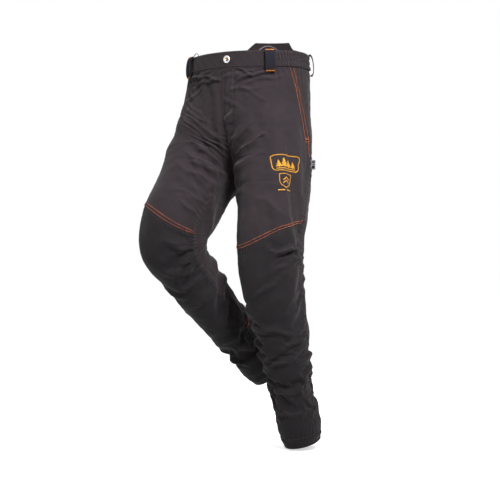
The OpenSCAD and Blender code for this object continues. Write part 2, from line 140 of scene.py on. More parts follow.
class Pose:
    """The two legs' directions, and the cloth's surface for them."""

    def __init__(self, d1, d2):
        self.d1, self.d2 = d1, d2
        self.knee = [HIP[k] + THIGH * d1[k] for k in (0, 1)]
        self.axis = [unit(np.cross(d1[k], d2[k])) for k in (0, 1)]

    def spine(self, k, s):
        h, kn, d1, d2 = HIP[k], self.knee[k], self.d1[k], self.d2[k]
        z = np.array([0, 0, -1.0])
        top = np.stack([np.full_like(s, h[0]), HIP_Y * smooth((s + 185) / 95), -HIP_Z - s], -1)
        bend = bezier(h, z, d1, 90, (s + 90) / 180)
        thigh = h + s[..., None] * d1
        knee = bezier(kn, d1, d2, 100, (s - THIGH + 100) / 200)
        shin = kn + (s - THIGH)[..., None] * d2
        out = np.where((s < -90)[..., None], top, bend)
        out = np.where((s >= 90)[..., None], thigh, out)
        out = np.where((s >= THIGH - 100)[..., None], knee, out)
        return np.where((s >= THIGH + 100)[..., None], shin, out)

    def centre(self, k, s):
        c = self.spine(k, s)
        c[..., 0] = np.where(s < CROTCH_S, SIGN[k] * centre_x(k, s), c[..., 0])
        return c

    def down(self, k, s):
        d1 = self.d1[k]
        level = unit([0, d1[1], d1[2]])
        z = np.array([0, 0, -1.0])
        a = z + (level - z) * smooth((s + 60) / 180)[..., None]
        b = level + (d1 - level) * smooth((s - CROTCH_S) / (240 - CROTCH_S))[..., None]
        c = d1 + (self.d2[k] - d1) * smooth((s - THIGH + 100) / 200)[..., None]
        out = np.where((s < CROTCH_S)[..., None], a, b)
        return unit(np.where((s >= 240)[..., None], c, out))

    def to_side(self, k, s):
        d = self.down(k, s)
        x = np.array([1.0, 0, 0])
        raw = x + (self.axis[k] - x) * smooth((s - CROTCH_S) / 150)[..., None]
        return SIGN[k] * unit(raw - (raw * d).sum(-1, keepdims=True) * d)

    def ring(self, k, s, turn, off):
        cx, a = centre_x(k, s), half_side(k, s)
        b = np.where(turn < 0, half_front(s), half_back(s))
        swing = np.where(s >= CROTCH_S, np.pi, np.arccos(-np.clip(cx / a, 0, 1)))
        q = (turn * swing)[..., None]
        u = self.to_side(k, s)
        f = SIGN[k] * np.cross(self.down(k, s), u)
        a, b = a[..., None], b[..., None]
        n = unit(u * np.cos(q) / a - f * np.sin(q) / b)
        full = sum(h * np.exp(-((s - s0) / ds) ** 2 - ((turn - t0) / dt) ** 2)
                   for h, s0, ds, t0, dt in FULL[k])
        return self.centre(k, s) + u * a * np.cos(q) - f * b * np.sin(q) + n * (off + full)[..., None]

    def cloth(self, k, s, turn, off=0.0):
        s, turn, off = np.broadcast_arrays(*(np.asarray(v, float) for v in (s, turn, off)))
        r = np.minimum(s, CROTCH_S)
        end = np.where(turn < 0, -1.0, 1.0)
        deep = np.where(turn < 0, -half_front(np.minimum(r, -40)), half_back(np.minimum(r, -40)))
        curve = np.sqrt(np.clip(1 - (np.maximum(0, r + 40) / (CROTCH_S + 40)) ** 2, 0, 1))
        rise = np.stack([0 * r, CROTCH_Y + (deep - CROTCH_Y) * curve, -HIP_Z - r], -1)
        hold = smooth((np.abs(turn) - 0.4) / 0.6) * (1 - smooth((s - CROTCH_S) / 60))
        p = self.ring(k, s, turn, off) + hold[..., None] * (rise - self.ring(k, r, end, 0 * r))
        p[..., 0] = np.where(s < CROTCH_S, SIGN[k] * np.maximum(SIGN[k] * p[..., 0], 0), p[..., 0])
        return p


WORN = Pose(D1, D2)


def waist_top(turn):
    turn = np.asarray(turn, float)
    return WAIST_S - 5 * smooth((turn + 0.6) / 0.6) - (BACK_RISE - 5) * smooth((turn - 0.15) / 0.75)


def cut_row(turn):
    """Where the cloth is split between the hip's bend and the knee's."""
    return 190 + 60 * smooth((np.abs(turn) - 0.6) / 0.4)


def seam_row(k, turn):
    a, b, c = KNEE_SEAM[k]
    return a + b * np.cos(np.pi * turn) + c * np.sin(np.pi * turn)


# ---------------------------------------------------------------- the grid of the cloth
FRONT_N, BACK_N, FINE = 30, 27, 3
TURNS = np.concatenate([np.linspace(-1, OUTSEAM, FRONT_N + 1), np.linspace(OUTSEAM, 1, BACK_N + 1)[1:]])
SECTIONS = (5, 36, 10, 10, 22, 28, 18)  # rows in the band, hip, upper thigh, lower thigh, knee, calf, ankle
ROWS = np.concatenate([[0], np.cumsum(SECTIONS)])


def row_levels(k, turn):
    flat = 0 * turn
    return [waist_top(turn), waist_top(turn) + BAND_H, flat + CROTCH_S, cut_row(turn), seam_row(k, turn),
            flat + 481, flat + ANKLE_S, flat + LEG]


def grid_s(k, turns):
    levels = row_levels(k, turns)
    rows = [levels[0]]
    for n, a, b in zip(SECTIONS, levels[:-1], levels[1:]):
        rows += [a + (b - a) * (i + 1) / n for i in range(n)]
    return np.array(rows)


# S[k] and T are leg k's s and turn on the coarse grid; T is the same for both legs. Further down,
# SF[k] and TF are the fine grid's, P[k] and N[k] its points and outward normals.
S = [grid_s(k, TURNS) for k in (0, 1)]
T = np.broadcast_to(TURNS, S[0].shape)
CROTCH_ROW = ROWS[2]


def padded_columns(p, k):
    """Grid p[k] with the column beyond each seam added: the other half above the crotch, the same
    leg below it."""
    me, other = p[k], p[1 - k]
    above = (np.arange(me.shape[0]) <= CROTCH_ROW * (me.shape[0] - 1) // (ROWS[-1]))[:, None, None]
    first = np.where(above, other[:, 1:2], me[:, -2:-1])
    last = np.where(above, other[:, -2:-1], me[:, 1:2])
    return np.concatenate([first, me, last], axis=1)


def finer(p, n, axis):
    """Catmull-Rom through p along an axis, n steps to each span."""
    p = np.moveaxis(p, axis, 0)
    t = np.arange(n)[:, None, None] / n
    out = []
    for i in range(1, len(p) - 2):
        a, b, c, d = (p[i + j][None] for j in (-1, 0, 1, 2))
        bend = (2 * a - 5 * b + 4 * c - d) * t * t + (3 * b - a - 3 * c + d) * t ** 3
        out.append(0.5 * (2 * b + (c - a) * t + bend))
    out.append(p[-2][None])
    return np.moveaxis(np.concatenate(out), 0, axis)


def refine(p):
    """Both halves, FINE times finer each way, smooth across the seams."""
    out = []
    for k in (0, 1):
        q = padded_columns(p, k)
        q = np.concatenate([2 * q[:1] - q[1:2], q, 2 * q[-1:] - q[-2:-1]])
        out.append(finer(finer(q, FINE, 1), FINE, 0))
    return out


def normals(p):
    out = []
    for k in (0, 1):
        q = padded_columns(p, k)
        across = q[:, 2:] - q[:, :-2]
        along = np.gradient(p[k], axis=0)
        out.append(unit(SIGN[k] * np.cross(along, across)))
    return out


# ---------------------------------------------------------------- folds
def ridge(s, turn, width_turn, fold):
    """One soft fold of the cloth, from (s0, t0) to (s1, t1): height, width in mm."""
    s0, t0, s1, t1, height, width = fold
    x = turn * width_turn + 7 * np.sin(s / 23 + s0) + 3 * np.sin(s / 9 + 2 * s0)
    y = s + 6 * np.sin(turn * width_turn / 27 + s1) + 2.5 * np.sin(turn * width_turn / 10 + s0)
    ax, ay, bx, by = t0 * width_turn, s0, t1 * width_turn, s1
    length2 = (bx - ax) ** 2 + (by - ay) ** 2
    along = ((x - ax) * (bx - ax) + (y - ay) * (by - ay)) / length2
    across = ((x - ax) * (by - ay) - (y - ay) * (bx - ax)) / np.sqrt(length2)
    over = np.maximum(np.abs(along - 0.5) - 0.5, 0) * np.sqrt(length2)
    taper = np.exp(-(over / (1.3 * width)) ** 2) * (0.55 + 0.45 * np.clip(1 - np.abs(2 * along - 1), 0, 1))
    d = across / width
    hollows = 0.55 * np.exp(-((d - 1.5) / 1.1) ** 2) + 0.35 * np.exp(-((d + 1.6) / 1.2) ** 2)
    return height * taper * (np.exp(-d * d) - hollows)


# (s0, turn0, s1, turn1, height, width), by side
FOLDS = (
    # left leg: drag lines from the crotch, the tuck at the knee, bunching on the shin
    ((95, -0.98, 10, -0.66, 5, 13), (118, -0.95, 52, -0.5, 6, 12), (150, -0.95, 118, -0.55, 5, 12),
     (-92, -0.92, -60, -0.55, 4, 12), (-120, -0.85, -138, -0.5, 4, 9), (185, -0.95, 215, -0.6, 3, 13),
     (225, -0.5, 270, -0.15, 3, 13),
     (338, 0.1, 352, -0.28, 9, 8), (362, 0.2, 385, -0.2, 6, 9), (372, 0.9, 366, 0.3, 8, 12),
     (398, 0.85, 402, 0.25, 7, 12), (345, 0.8, 340, 0.3, 6, 12), (430, 0.7, 440, 0.2, 5, 12),
     (408, -0.2, 436, -0.5, 3.5, 11), (470, -0.95, 492, -0.62, 4, 11), (508, -0.2, 470, 0.15, 4, 11),
     (520, -0.9, 541, -0.42, 5, 11), (556, -0.05, 528, -0.5, 4, 10), (566, -0.98, 580, -0.6, 6, 10),
     (572, 0.1, 594, -0.34, 6, 10), (603, -0.92, 606, -0.5, 6, 10), (632, -0.62, 604, -0.12, 6, 10),
     (640, -0.1, 618, 0.4, 5, 11), (652, -0.98, 640, -0.7, 4, 10), (690, -0.6, 712, -0.2, 3, 12),
     (560, 0.3, 580, 0.8, 5, 14), (650, 0.3, 640, 0.8, 5, 14), (752, -0.7, 775, -0.2, 2.5, 13),
     (780, 0.1, 760, 0.6, 3, 13)),
    # right leg: diagonals over the hip, the deep folds behind the knee
    ((-88, -0.42, 10, -0.82, 5, 12), (-52, -0.36, 50, -0.74, 6, 12), (-8, -0.38, 92, -0.78, 5, 11),
     (-120, -0.5, -118, -0.9, 4, 9), (34, -0.9, -6, -0.62, 5, 12), (100, -0.98, 62, -0.6, 6, 12),
     (135, -1.0, 112, -0.55, 6, 12), (168, -1.0, 150, -0.6, 5, 11), (200, -1.0, 188, -0.55, 4.5, 11),
     (232, -1.0, 214, -0.65, 4, 11), (262, -1.0, 250, -0.68, 4, 11), (292, -1.0, 286, -0.74, 3.5, 10),
     (322, 0.85, 318, 0.45, 7, 12), (348, 0.9, 345, 0.35, 7, 11), (376, 0.9, 374, 0.3, 9, 11),
     (402, 0.9, 404, 0.4, 7, 11), (430, 0.9, 436, 0.45, 6, 12), (385, -0.95, 368, -0.72, 5, 9),
     (405, -0.98, 424, -0.72, 5, 9), (430, -0.9, 414, -0.55, 3.5, 11), (462, -0.98, 478, -0.62, 5, 11),
     (500, -0.6, 470, -0.3, 4, 12), (512, -0.95, 540, -0.5, 4, 12), (560, -0.3, 590, 0.1, 4, 12),
     (596, -0.98, 632, -0.55, 4, 12), (480, 0.2, 500, 0.8, 6, 13), (540, 0.3, 560, 0.9, 5, 13),
     (668, -0.9, 690, -0.4, 3.5, 12), (700, 0.1, 722, -0.3, 3.5, 12), (640, 0.3, 660, 0.8, 4, 13),
     (770, -0.9, 758, -0.4, 3, 12)),
)


def waves(s, a, scale, seed):
    """A smooth seamless-enough noise from a few sines."""
    r = np.random.default_rng(seed)
    out = 0
    for _ in range(7):
        w, q, ph = r.uniform(0.6, 1.5), r.uniform(0, 2 * np.pi), r.uniform(0, 2 * np.pi)
        out = out + np.sin((s * np.sin(q) + a * np.cos(q)) * w * 2 * np.pi / scale + ph)
    return out / 7


def room(p, s):
    """0 where the rows crowd together inside a bend, which leaves no room for folds; else 1."""
    step = np.gradient(p, axis=0)
    way = unit(step.mean(axis=1, keepdims=True))
    free = smooth((step * way).sum(-1) / np.gradient(s, axis=0) / 0.75)
    reach = max(1, int(14 / abs(s[-1, 0] - s[0, 0]) * len(s)))
    return np.min([np.roll(free, a, axis=0) for a in range(-reach, reach + 1)], axis=0)


def folded(p):
    """The grid with its folds."""
    out = []
    n = normals(p)
    for k in (0, 1):
        s, t = S[k], T
        wide = np.interp(s, (-185, CROTCH_S, 371, LEG), (245, 300, 270, 165))
        h = sum(ridge(s, t, wide, f) for f in FOLDS[k])
        a = t * wide
        edge = smooth((s - waist_top(t) - BAND_H) / 40) * smooth((LEG - s) / 25) * room(p[k], s)
        seam = smooth((1 - np.abs(t)) / 0.08) * 0.8 + 0.2
        h = h + 2.2 * waves(s, a, 95, 11 + k) * np.where(t < OUTSEAM, 0.8, 1.2)
        out.append(p[k] + n[k] * (h * edge * seam)[..., None])
    above = slice(0, CROTCH_ROW + 1)
    for j in (0, -1):  # the two halves, and then each leg's front and back, meet at their seams
        mid = (out[0][above, j] + out[1][above, j]) / 2
        mid[:, 0] = 0
        out[0][above, j] = out[1][above, j] = mid
    for k in (0, 1):
        mid = (out[k][CROTCH_ROW:, 0] + out[k][CROTCH_ROW:, -1]) / 2
        if k == 0:
            crotch = mid[0]
        mid[0] = crotch
        out[k][CROTCH_ROW:, 0] = out[k][CROTCH_ROW:, -1] = mid
    out[1][CROTCH_ROW, 0] = out[1][CROTCH_ROW, -1] = out[0][CROTCH_ROW, 0]
    return out


# ---------------------------------------------------------------- cloth simulation
def mesh_object(name, verts, faces):
    mesh = bpy.data.meshes.new(name)
    mesh.from_pydata([tuple(v) for v in verts], [], [tuple(f) for f in faces])
    mesh.update()
    obj = bpy.data.objects.new(name, mesh)
    bpy.context.scene.collection.objects.link(obj)
    return obj


def welded(grids):
    """Index of each grid point in one mesh where the seams are sewn, and the points."""
    flat = np.concatenate([g.reshape(-1, 3) for g in grids])
    keys = np.round(flat / 0.02).astype(np.int64)
    _, first, index = np.unique(keys, axis=0, return_index=True, return_inverse=True)
    return index.reshape(2, *grids[0].shape[:2]), flat[first]


def quads(index):
    faces = []
    for k in (0, 1):
        a, b, c, d = (index[k][i, j].ravel() for i, j in (
            (slice(None, -1), slice(None, -1)), (slice(None, -1), slice(1, None)),
            (slice(1, None), slice(1, None)), (slice(1, None), slice(None, -1))))
        f = np.stack([a, d, c, b] if k == 0 else [a, b, c, d], -1)
        faces += [list(dict.fromkeys(q)) for q in f.tolist()]
    return [f for f in faces if len(f) > 2]


def simulate(start):
    """Lets the cloth settle over the legs, with a little more cloth on the shins than they need."""
    index, points = welded(start)
    cloth = mesh_object("cloth_sim", points * MM, quads(index))
    longer = []
    for k in (0, 1):
        extra = (5, 2)[k] * smooth((S[k] - 500) / 60) + (5, 4)[k] * smooth((S[k] - 585) / 60)
        longer.append(WORN.cloth(k, S[k] + extra, T))
    rest = folded(longer)
    flat = np.concatenate([g.reshape(-1, 3) for g in rest])
    rest_points = np.zeros_like(points)
    rest_points[index.reshape(-1)] = flat
    cloth.shape_key_add(name="Basis")
    key = cloth.shape_key_add(name="Rest")
    key.data.foreach_set("co", (rest_points * MM).ravel())
    pin = cloth.vertex_groups.new(name="Pin")
    held = {}
    for k in (0, 1):
        for i, j in np.ndindex(index[k].shape):
            w = 1.0 if i <= ROWS[1] + 1 or i >= ROWS[-1] - 1 else 0.0
            if i in (ROWS[1] + 2, ROWS[-1] - 2):
                w = 0.4
            if not w:
                w = 0.25 if j in (0, FRONT_N, FRONT_N + BACK_N) else 0.06
                w = max(w, float(smooth((S[k][i, j] - 730) / 100)))
            if w:
                held[index[k][i, j]] = max(w, held.get(index[k][i, j], 0))
    for i, w in held.items():
        pin.add([int(i)], w, "REPLACE")
    body_grid = []
    for k in (0, 1):
        depth = np.where(T > 0.15, 20, 9) + 8 * smooth((S[k] - 480) / 120)
        depth = depth * smooth((S[k] + 150) / 60) + 6
        body_grid.append(WORN.cloth(k, S[k], T, -depth))
    bi, bp = welded(body_grid)
    body = mesh_object("body_sim", bp * MM, quads(bi))
    body.modifiers.new("Collision", "COLLISION")
    body.collision.thickness_outer = 0.002
    body.collision.cloth_friction = 8
    mod = cloth.modifiers.new("Cloth", "CLOTH")
    c = mod.settings
    c.quality, c.mass, c.air_damping, c.time_scale = 7, 0.35, 2.0, 0.8
    c.tension_stiffness = c.compression_stiffness = 18
    c.shear_stiffness, c.bending_stiffness = 8, 3.5
    c.tension_damping = c.compression_damping = c.shear_damping = 12
    c.bending_damping = 1.5
    c.shrink_min = c.shrink_max = -0.015
    c.effector_weights.gravity = 0.4
    c.vertex_group_mass = "Pin"
    c.rest_shape_key = key
    col = mod.collision_settings
    col.use_collision, col.distance_min, col.collision_quality = True, 0.003, 2
    col.use_self_collision, col.self_distance_min = True, 0.004
    scene = bpy.context.scene
    frames = 20
    mod.point_cache.frame_start, mod.point_cache.frame_end = 1, frames
    for f in range(1, frames + 1):
        scene.frame_set(f)
    done = cloth.evaluated_get(bpy.context.evaluated_depsgraph_get()).to_mesh()
    co = np.zeros(len(done.vertices) * 3)
    done.vertices.foreach_get("co", co)
    co = co.reshape(-1, 3) / MM
    scene.frame_set(1)
    for o in (cloth, body):
        bpy.data.objects.remove(o)
    outward = np.zeros_like(points)
    free = np.ones((len(points), 1))
    for k, n in enumerate(normals(start)):
        outward[index[k].reshape(-1)] = n.reshape(-1, 3)
        free[index[k].reshape(-1), 0] = room(WORN.cloth(k, S[k], T), S[k]).ravel()
    move = (co - points) * free
    swell = (move * outward).sum(-1, keepdims=True)
    slide = move - swell * outward
    far = np.linalg.norm(slide, axis=1, keepdims=True)
    co = points + np.clip(swell, -7, 6) * outward + slide * np.minimum(1, 5 / np.maximum(far, 1e-6))
    return [co[index[k]] for k in (0, 1)]


def evened(grids):
    """The grids with the rows that crowd inside a bend laid evenly."""
    for k in (0, 1):
        crowded = 1 - room(WORN.cloth(k, S[k], T), S[k])[1:-1, :, None]
        q = grids[k]
        for _ in range(60):
            q[1:-1] += 0.45 * crowded * ((q[:-2] + q[2:]) / 2 - q[1:-1])
    return grids


base = [WORN.cloth(k, S[k], T) for k in (0, 1)]
shaped = folded(base)
shaped = simulate(shaped)
P = refine(evened(shaped))
fine_turns = np.concatenate([np.linspace(a, b, FINE + 1)[:-1] for a, b in zip(TURNS[:-1], TURNS[1:])]
                            + [[1.0]])
fine_rows = np.arange(ROWS[-1] * FINE + 1) / FINE
SF = [np.stack([np.interp(fine_rows, np.arange(ROWS[-1] + 1), column)
                for column in grid_s(k, fine_turns).T], 1)
      for k in (0, 1)]
TF = np.broadcast_to(fine_turns, SF[0].shape)
N = normals(P)


def arcs(p):
    d = np.linalg.norm(np.diff(p, axis=1), axis=2)
    a = np.concatenate([np.zeros((len(p), 1)), np.cumsum(d, axis=1)], axis=1)
    return a - a[:, FRONT_N * FINE][:, None]


A = [arcs(P[k]) for k in (0, 1)]  # mm round the leg from the side seam
FR = ROWS * FINE
SEAM_COL = FRONT_N * FINE


def pocket_turn(s):
    """The slanted front pocket's mouth."""
    return np.interp(s, (-150, 45), (-0.219, 0.037))


def seam_relief(d, width=4.0):
    """A sewn seam: a groove with the doubled cloth standing beside it on one side."""
    beside = smooth((d + 0.5) / 1.5) * (1 - smooth((d - 2 * width) / 2.5))
    return -1.1 * np.exp(-(d / 1.3) ** 2) + 0.8 * beside


# finer creases, laid on after the simulation, written like FOLDS
CREASES = (
    ((-141, -0.93, -122, -0.72, 4.0, 4), (-122, -0.72, -141, -0.5, 4.0, 4),
     (-130, -0.6, -144, -0.42, 3.0, 3.5),
     (-142, -0.8, -132, -0.66, 2.6, 3), (-112, -0.93, -140, -0.62, 3.0, 5),
     (-104, -0.88, -136, -0.5, 3.0, 4.5), (-120, -0.8, -140, -0.44, 2.4, 4),
     (-96, -0.8, -124, -0.4, 2.4, 5), (-84, -0.9, -96, -0.62, 2.0, 5), (-132, -0.95, -141, -0.8, 2.0, 4),
     (-70, -0.96, -36, -0.8, 2.2, 6), (60, -0.98, 12, -0.8, 2.4, 6), (140, -0.97, 118, -0.82, 2.2, 6),
     (165, -0.98, 160, -0.8, 2.0, 5), (344, 0.0, 352, -0.2, 3.0, 4), (356, 0.02, 372, -0.14, 2.6, 4),
     (600, -0.8, 618, -0.4, 2.4, 5), (612, -0.5, 590, -0.15, 2.2, 5), (577, -0.9, 596, -0.66, 2.2, 5),
     (628, -0.9, 622, -0.6, 2.0, 5), (546, -0.7, 560, -0.4, 1.8, 5)),
    ((-122, -0.92, -124, -0.5, 4.5, 4), (-138, -0.88, -134, -0.62, 3.0, 3.5),
     (-112, -0.5, -84, -0.62, 3.0, 4),
     (-140, -0.6, -128, -0.44, 3.0, 3.5), (-112, -0.95, -104, -0.6, 2.4, 5), (-98, -0.75, -72, -0.5, 2.0, 5),
     (-60, -0.52, -18, -0.74, 2.6, 5), (-30, -0.5, 20, -0.72, 2.4, 5), (2, -0.52, 44, -0.74, 2.2, 5),
     (72, -0.98, 50, -0.72, 2.6, 5), (88, -0.9, 74, -0.6, 2.2, 5), (118, -0.98, 100, -0.68, 2.6, 5),
     (150, -1.0, 134, -0.68, 2.4, 5), (184, -1.0, 168, -0.66, 2.4, 5), (216, -1.0, 204, -0.72, 2.4, 5),
     (246, -1.0, 236, -0.76, 2.2, 5), (276, -1.0, 268, -0.74, 2.2, 5), (396, -0.98, 382, -0.76, 2.6, 5),
     (416, -0.96, 440, -0.72, 2.4, 5), (446, -0.96, 462, -0.7, 2.2, 5), (486, -0.9, 510, -0.6, 2.0, 5)),
)


def detail():
    out = []
    for k in (0, 1):
        s, t, a = SF[k], TF, A[k]
        h = 0.4 * waves(s, a, 17, 31 + k) + 0.6 * waves(s, a, 38, 41 + k)
        wide = np.interp(s, (-185, CROTCH_S, 371, LEG), (245, 300, 270, 165))
        for s0, t0, s1, t1, height, width in FOLDS[k]:  # each fold has a crisper crease along it
            h = h + ridge(s, t, wide, (s0, t0, s1, t1, 0.32 * height, 0.42 * width))
        for crease in CREASES[k]:
            h = h + ridge(s, t, wide, crease)
        below = s - waist_top(t) - BAND_H
        elastic = smooth((t + 0.5) / 0.1)
        gathers = np.sin(a * 2 * np.pi / 14 + 1.5 * np.sin(a / 29 + k) + below / 30)
        h = h + elastic * 1.6 * np.exp(-(below / 30) ** 2) * gathers
        edge = smooth((s - waist_top(t) - BAND_H) / 10)
        pucker = 0
        centre = np.where(t < 0, a - a[:, :1], a[:, -1:] - a)
        flat = np.where(t < 0, smooth((s + 10) / 60), 1)  # the fly lies flat
        for d, share in ((a, 1), (centre, flat)):
            h = h + seam_relief(d) * share
            drawn = np.sin(s * 2 * np.pi / 13 + 2.2 * np.sin(s / 31 + k))
            pucker = pucker + share * np.exp(-(d / 13) ** 2) * 0.9 * drawn
        dk = np.where(t < OUTSEAM, s - seam_row(k, t), 99)
        h = h + seam_relief(-dk)
        pucker = pucker + np.exp(-(dk / 14) ** 2) * 0.8 * np.sin(a * 2 * np.pi / 12 + 2 * np.sin(a / 37 + k))
        da = np.where(t > OUTSEAM, s - ANKLE_S, 99)
        h = h + seam_relief(da)
        pucker = pucker + np.exp(-(da / 12) ** 2) * 0.6 * np.sin(a * 2 * np.pi / 11)
        dh = LEG - HEM_H - s
        h = h - 0.9 * np.exp(-(dh / 1.6) ** 2)
        pucker = pucker + np.exp(-((dh - 4) / 14) ** 2) * 0.8 * np.sin(a * 2 * np.pi / 12)
        dp = np.where((s > -150) & (s < 52), (t - pocket_turn(s)) * WAY_MM, 99)
        h = h + np.where(np.abs(dp) < 40, seam_relief(dp, 3) * 1.2, 0)
        out.append(P[k] + N[k] * ((h + pucker) * edge * room(P[k], s))[..., None])
    above = slice(0, CROTCH_ROW * FINE + 1)
    for j in (0, -1):
        mid = (out[0][above, j] + out[1][above, j]) / 2
        out[0][above, j] = out[1][above, j] = mid
    for k in (0, 1):
        below = slice(CROTCH_ROW * FINE + 1, None)
        mid = (out[k][below, 0] + out[k][below, -1]) / 2
        out[k][below, 0] = out[k][below, -1] = mid
    return out


P = detail()
N = normals(P)


# ---------------------------------------------------------------- materials
def srgb(r, g, b):
    return tuple((c / 255 / 12.92) if c / 255 <= 0.04045 else ((c / 255 + 0.055) / 1.055) ** 2.4
                 for c in (r, g, b)) + (1.0,)


class Nodes:
    """Small helper round one material's node tree."""

    def __init__(self, name):
        self.mat = bpy.data.materials.new(name)
        self.mat.use_nodes = True
        self.tree = self.mat.node_tree
        self.shader = self.tree.nodes["Principled BSDF"]

    def add(self, kind, **values):
        node = self.tree.nodes.new(kind)
        for key, value in values.items():
            if key in node.inputs:
                node.inputs[key].default_value = value
            else:
                setattr(node, key, value)
        return node

    def link(self, a, b):
        self.tree.links.new(a, b)
        return b

    def noise(self, **values):
        """Noise in the piece's own space."""
        node = self.add("ShaderNodeTexNoise", **values)
        self.link(self.add("ShaderNodeTexCoord").outputs["Object"], node.inputs["Vector"])
        return node.outputs["Fac"]

    def set(self, socket, value):
        self.link(value, self.shader.inputs[socket])

    def bump(self, height, strength, distance):
        node = self.add("ShaderNodeBump", Strength=strength, Distance=distance)
        self.link(height, node.inputs["Height"])
        self.set("Normal", node.outputs["Normal"])

    def math(self, operation, a, b=0.0):
        node = self.tree.nodes.new("ShaderNodeMath")
        node.operation = operation
        for i, v in enumerate((a, b)):
            if isinstance(v, (int, float)):
                node.inputs[i].default_value = v
            else:
                self.link(v, node.inputs[i])
        return node.outputs[0]

    def ramp(self, value, low, high, dark, light):
        node = self.tree.nodes.new("ShaderNodeValToRGB")
        e = node.color_ramp.elements
        e[0].position, e[1].position, e[0].color, e[1].color = low, high, dark, light
        self.link(value, node.inputs["Fac"])
        return node.outputs["Color"]

    def mix(self, fac, a, b, kind="MIX"):
        node = self.tree.nodes.new("ShaderNodeMix")
        node.data_type, node.blend_type = "RGBA", kind
        for socket, v in zip((node.inputs[0], node.inputs[6], node.inputs[7]), (fac, a, b)):
            if isinstance(v, (int, float, tuple)):
                socket.default_value = v
            else:
                self.link(v, socket)
        return node.outputs[2]


def shade(colour, f):
    return tuple(c * f for c in colour[:3]) + (1.0,)


def cloth_material(name, colour, rough=0.85, sheen=0.1, thread=0.9, twill=1.0, bump=0.35, vary=0.16,
                   wear=0.25):
    """Twill cloth: yarns crossing at thread mm, cloudy colour, paler wear on the ridges."""
    n = Nodes(name)
    uv = n.add("ShaderNodeUVMap", uv_map="cloth").outputs["UV"]
    cloud = n.noise(Scale=14.0, Detail=5.0, Roughness=0.6)
    fleck = n.noise(Scale=900.0, Detail=2.0)
    sep = n.add("ShaderNodeSeparateXYZ")
    n.link(uv, sep.inputs[0])
    step = 2 * math.pi / (thread * MM)
    across = n.math("SINE", n.math("MULTIPLY", sep.outputs[0], step))
    slant = n.math("ADD", sep.outputs[1], n.math("MULTIPLY", sep.outputs[0], twill))
    lines = n.math("SINE", n.math("MULTIPLY", slant, step))
    weave = n.math("ADD", n.math("MULTIPLY", across, 0.25), n.math("MULTIPLY", lines, 0.25))
    weave = n.math("ADD", weave, 0.5)
    base = n.ramp(cloud, 0.3, 0.72, shade(colour, 1 - vary), shade(colour, 1 + vary))
    yarn = n.mix(n.math("MULTIPLY", weave, 0.28), base, shade(colour, 1.55))
    flecked = n.mix(n.math("MULTIPLY", fleck, 0.22), yarn, shade(colour, 0.55))
    edge = n.add("ShaderNodeNewGeometry").outputs["Pointiness"]
    worn = n.math("MULTIPLY", n.math("GREATER_THAN", edge, 0.53), wear)
    n.set("Base Color", n.mix(worn, flecked, shade(colour, 1.7)))
    n.bump(n.math("ADD", n.math("MULTIPLY", weave, 0.5), n.math("MULTIPLY", cloud, 0.6)), bump, 0.0006)
    n.set("Roughness", n.math("ADD", n.math("MULTIPLY", fleck, 0.12), rough - 0.06))
    n.shader.inputs["Sheen Weight"].default_value = sheen
    n.shader.inputs["Sheen Roughness"].default_value = 0.5
    n.shader.inputs["Specular IOR Level"].default_value = 0.2
    return n.mat


def thread_material(name, colour):
    """Twisted polyester thread."""
    n = Nodes(name)
    noise = n.noise(Scale=700.0, Detail=3.0)
    n.set("Base Color", n.ramp(noise, 0.35, 0.7, shade(colour, 0.7), shade(colour, 1.15)))
    n.bump(noise, 0.4, 0.0003)
    n.shader.inputs["Roughness"].default_value = 0.5
    n.shader.inputs["Sheen Weight"].default_value = 0.2
    return n.mat


def metal_material(name, colour, rough):
    """Cast and tumbled zinc: fine scratches and a little tarnish."""
    n = Nodes(name)
    noise = n.noise(Scale=260.0, Detail=6.0, Roughness=0.7)
    n.set("Base Color", n.ramp(noise, 0.3, 0.7, shade(colour, 0.75), colour))
    n.set("Roughness", n.math("ADD", n.math("MULTIPLY", noise, 0.25), rough - 0.12))
    n.bump(noise, 0.15, 0.0002)
    n.shader.inputs["Metallic"].default_value = 1.0
    return n.mat


ANTHRACITE = srgb(52, 44, 48)
DARK = srgb(38, 34, 37)
MATS = {
    "anthracite_cloth": cloth_material("anthracite_cloth", ANTHRACITE),
    "dark_cloth": cloth_material("dark_cloth", DARK, rough=0.8, thread=1.1, twill=0.0, wear=0.3),
    "webbing": cloth_material("webbing", srgb(30, 28, 38), rough=0.75, thread=1.3, twill=0.0, bump=0.5),
    "elastic": cloth_material("elastic", srgb(40, 36, 39), rough=0.8, thread=1.5, twill=0.0, bump=0.5),
    "lining": cloth_material("lining", srgb(50, 48, 54), rough=0.7, thread=0.7, twill=0.0, sheen=0.1),
    "tape": cloth_material("tape", srgb(40, 38, 42), rough=0.8, thread=0.8, twill=1.0),
    "protection": cloth_material("protection", srgb(200, 190, 150), rough=0.9, thread=2.4, twill=0.0,
                                 sheen=0.4),
    "label": cloth_material("label", srgb(150, 150, 156), rough=0.55, thread=0.6, twill=0.0, sheen=0.1),
    "orange": thread_material("orange_thread", srgb(226, 112, 36)),
    "bright": thread_material("bright_orange_thread", srgb(250, 155, 40)),
    "pale_thread": thread_material("pale_thread", srgb(84, 76, 80)),
    "grey_thread": thread_material("grey_thread", srgb(48, 42, 45)),
    "print_yellow": thread_material("print_yellow", srgb(250, 176, 20)),
    # black yarn for the label's bars, also used as painted shade in the button's well
    "black": thread_material("black_yarn_and_painted_shade", srgb(24, 23, 26)),
    "cord": thread_material("cord", srgb(120, 116, 120)),
    "button_metal": metal_material("button_metal", srgb(248, 248, 250), 0.45),
    "zip_metal": metal_material("zip_metal", srgb(170, 165, 155), 0.38),
}


# ---------------------------------------------------------------- building pieces
def finish_piece(obj, material, nodes=()):
    """Gives a piece its material and hides the CAD nodes that it replaces."""
    obj.data.materials.append(MATS[material])
    if nodes:
        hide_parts(*nodes)
    return obj


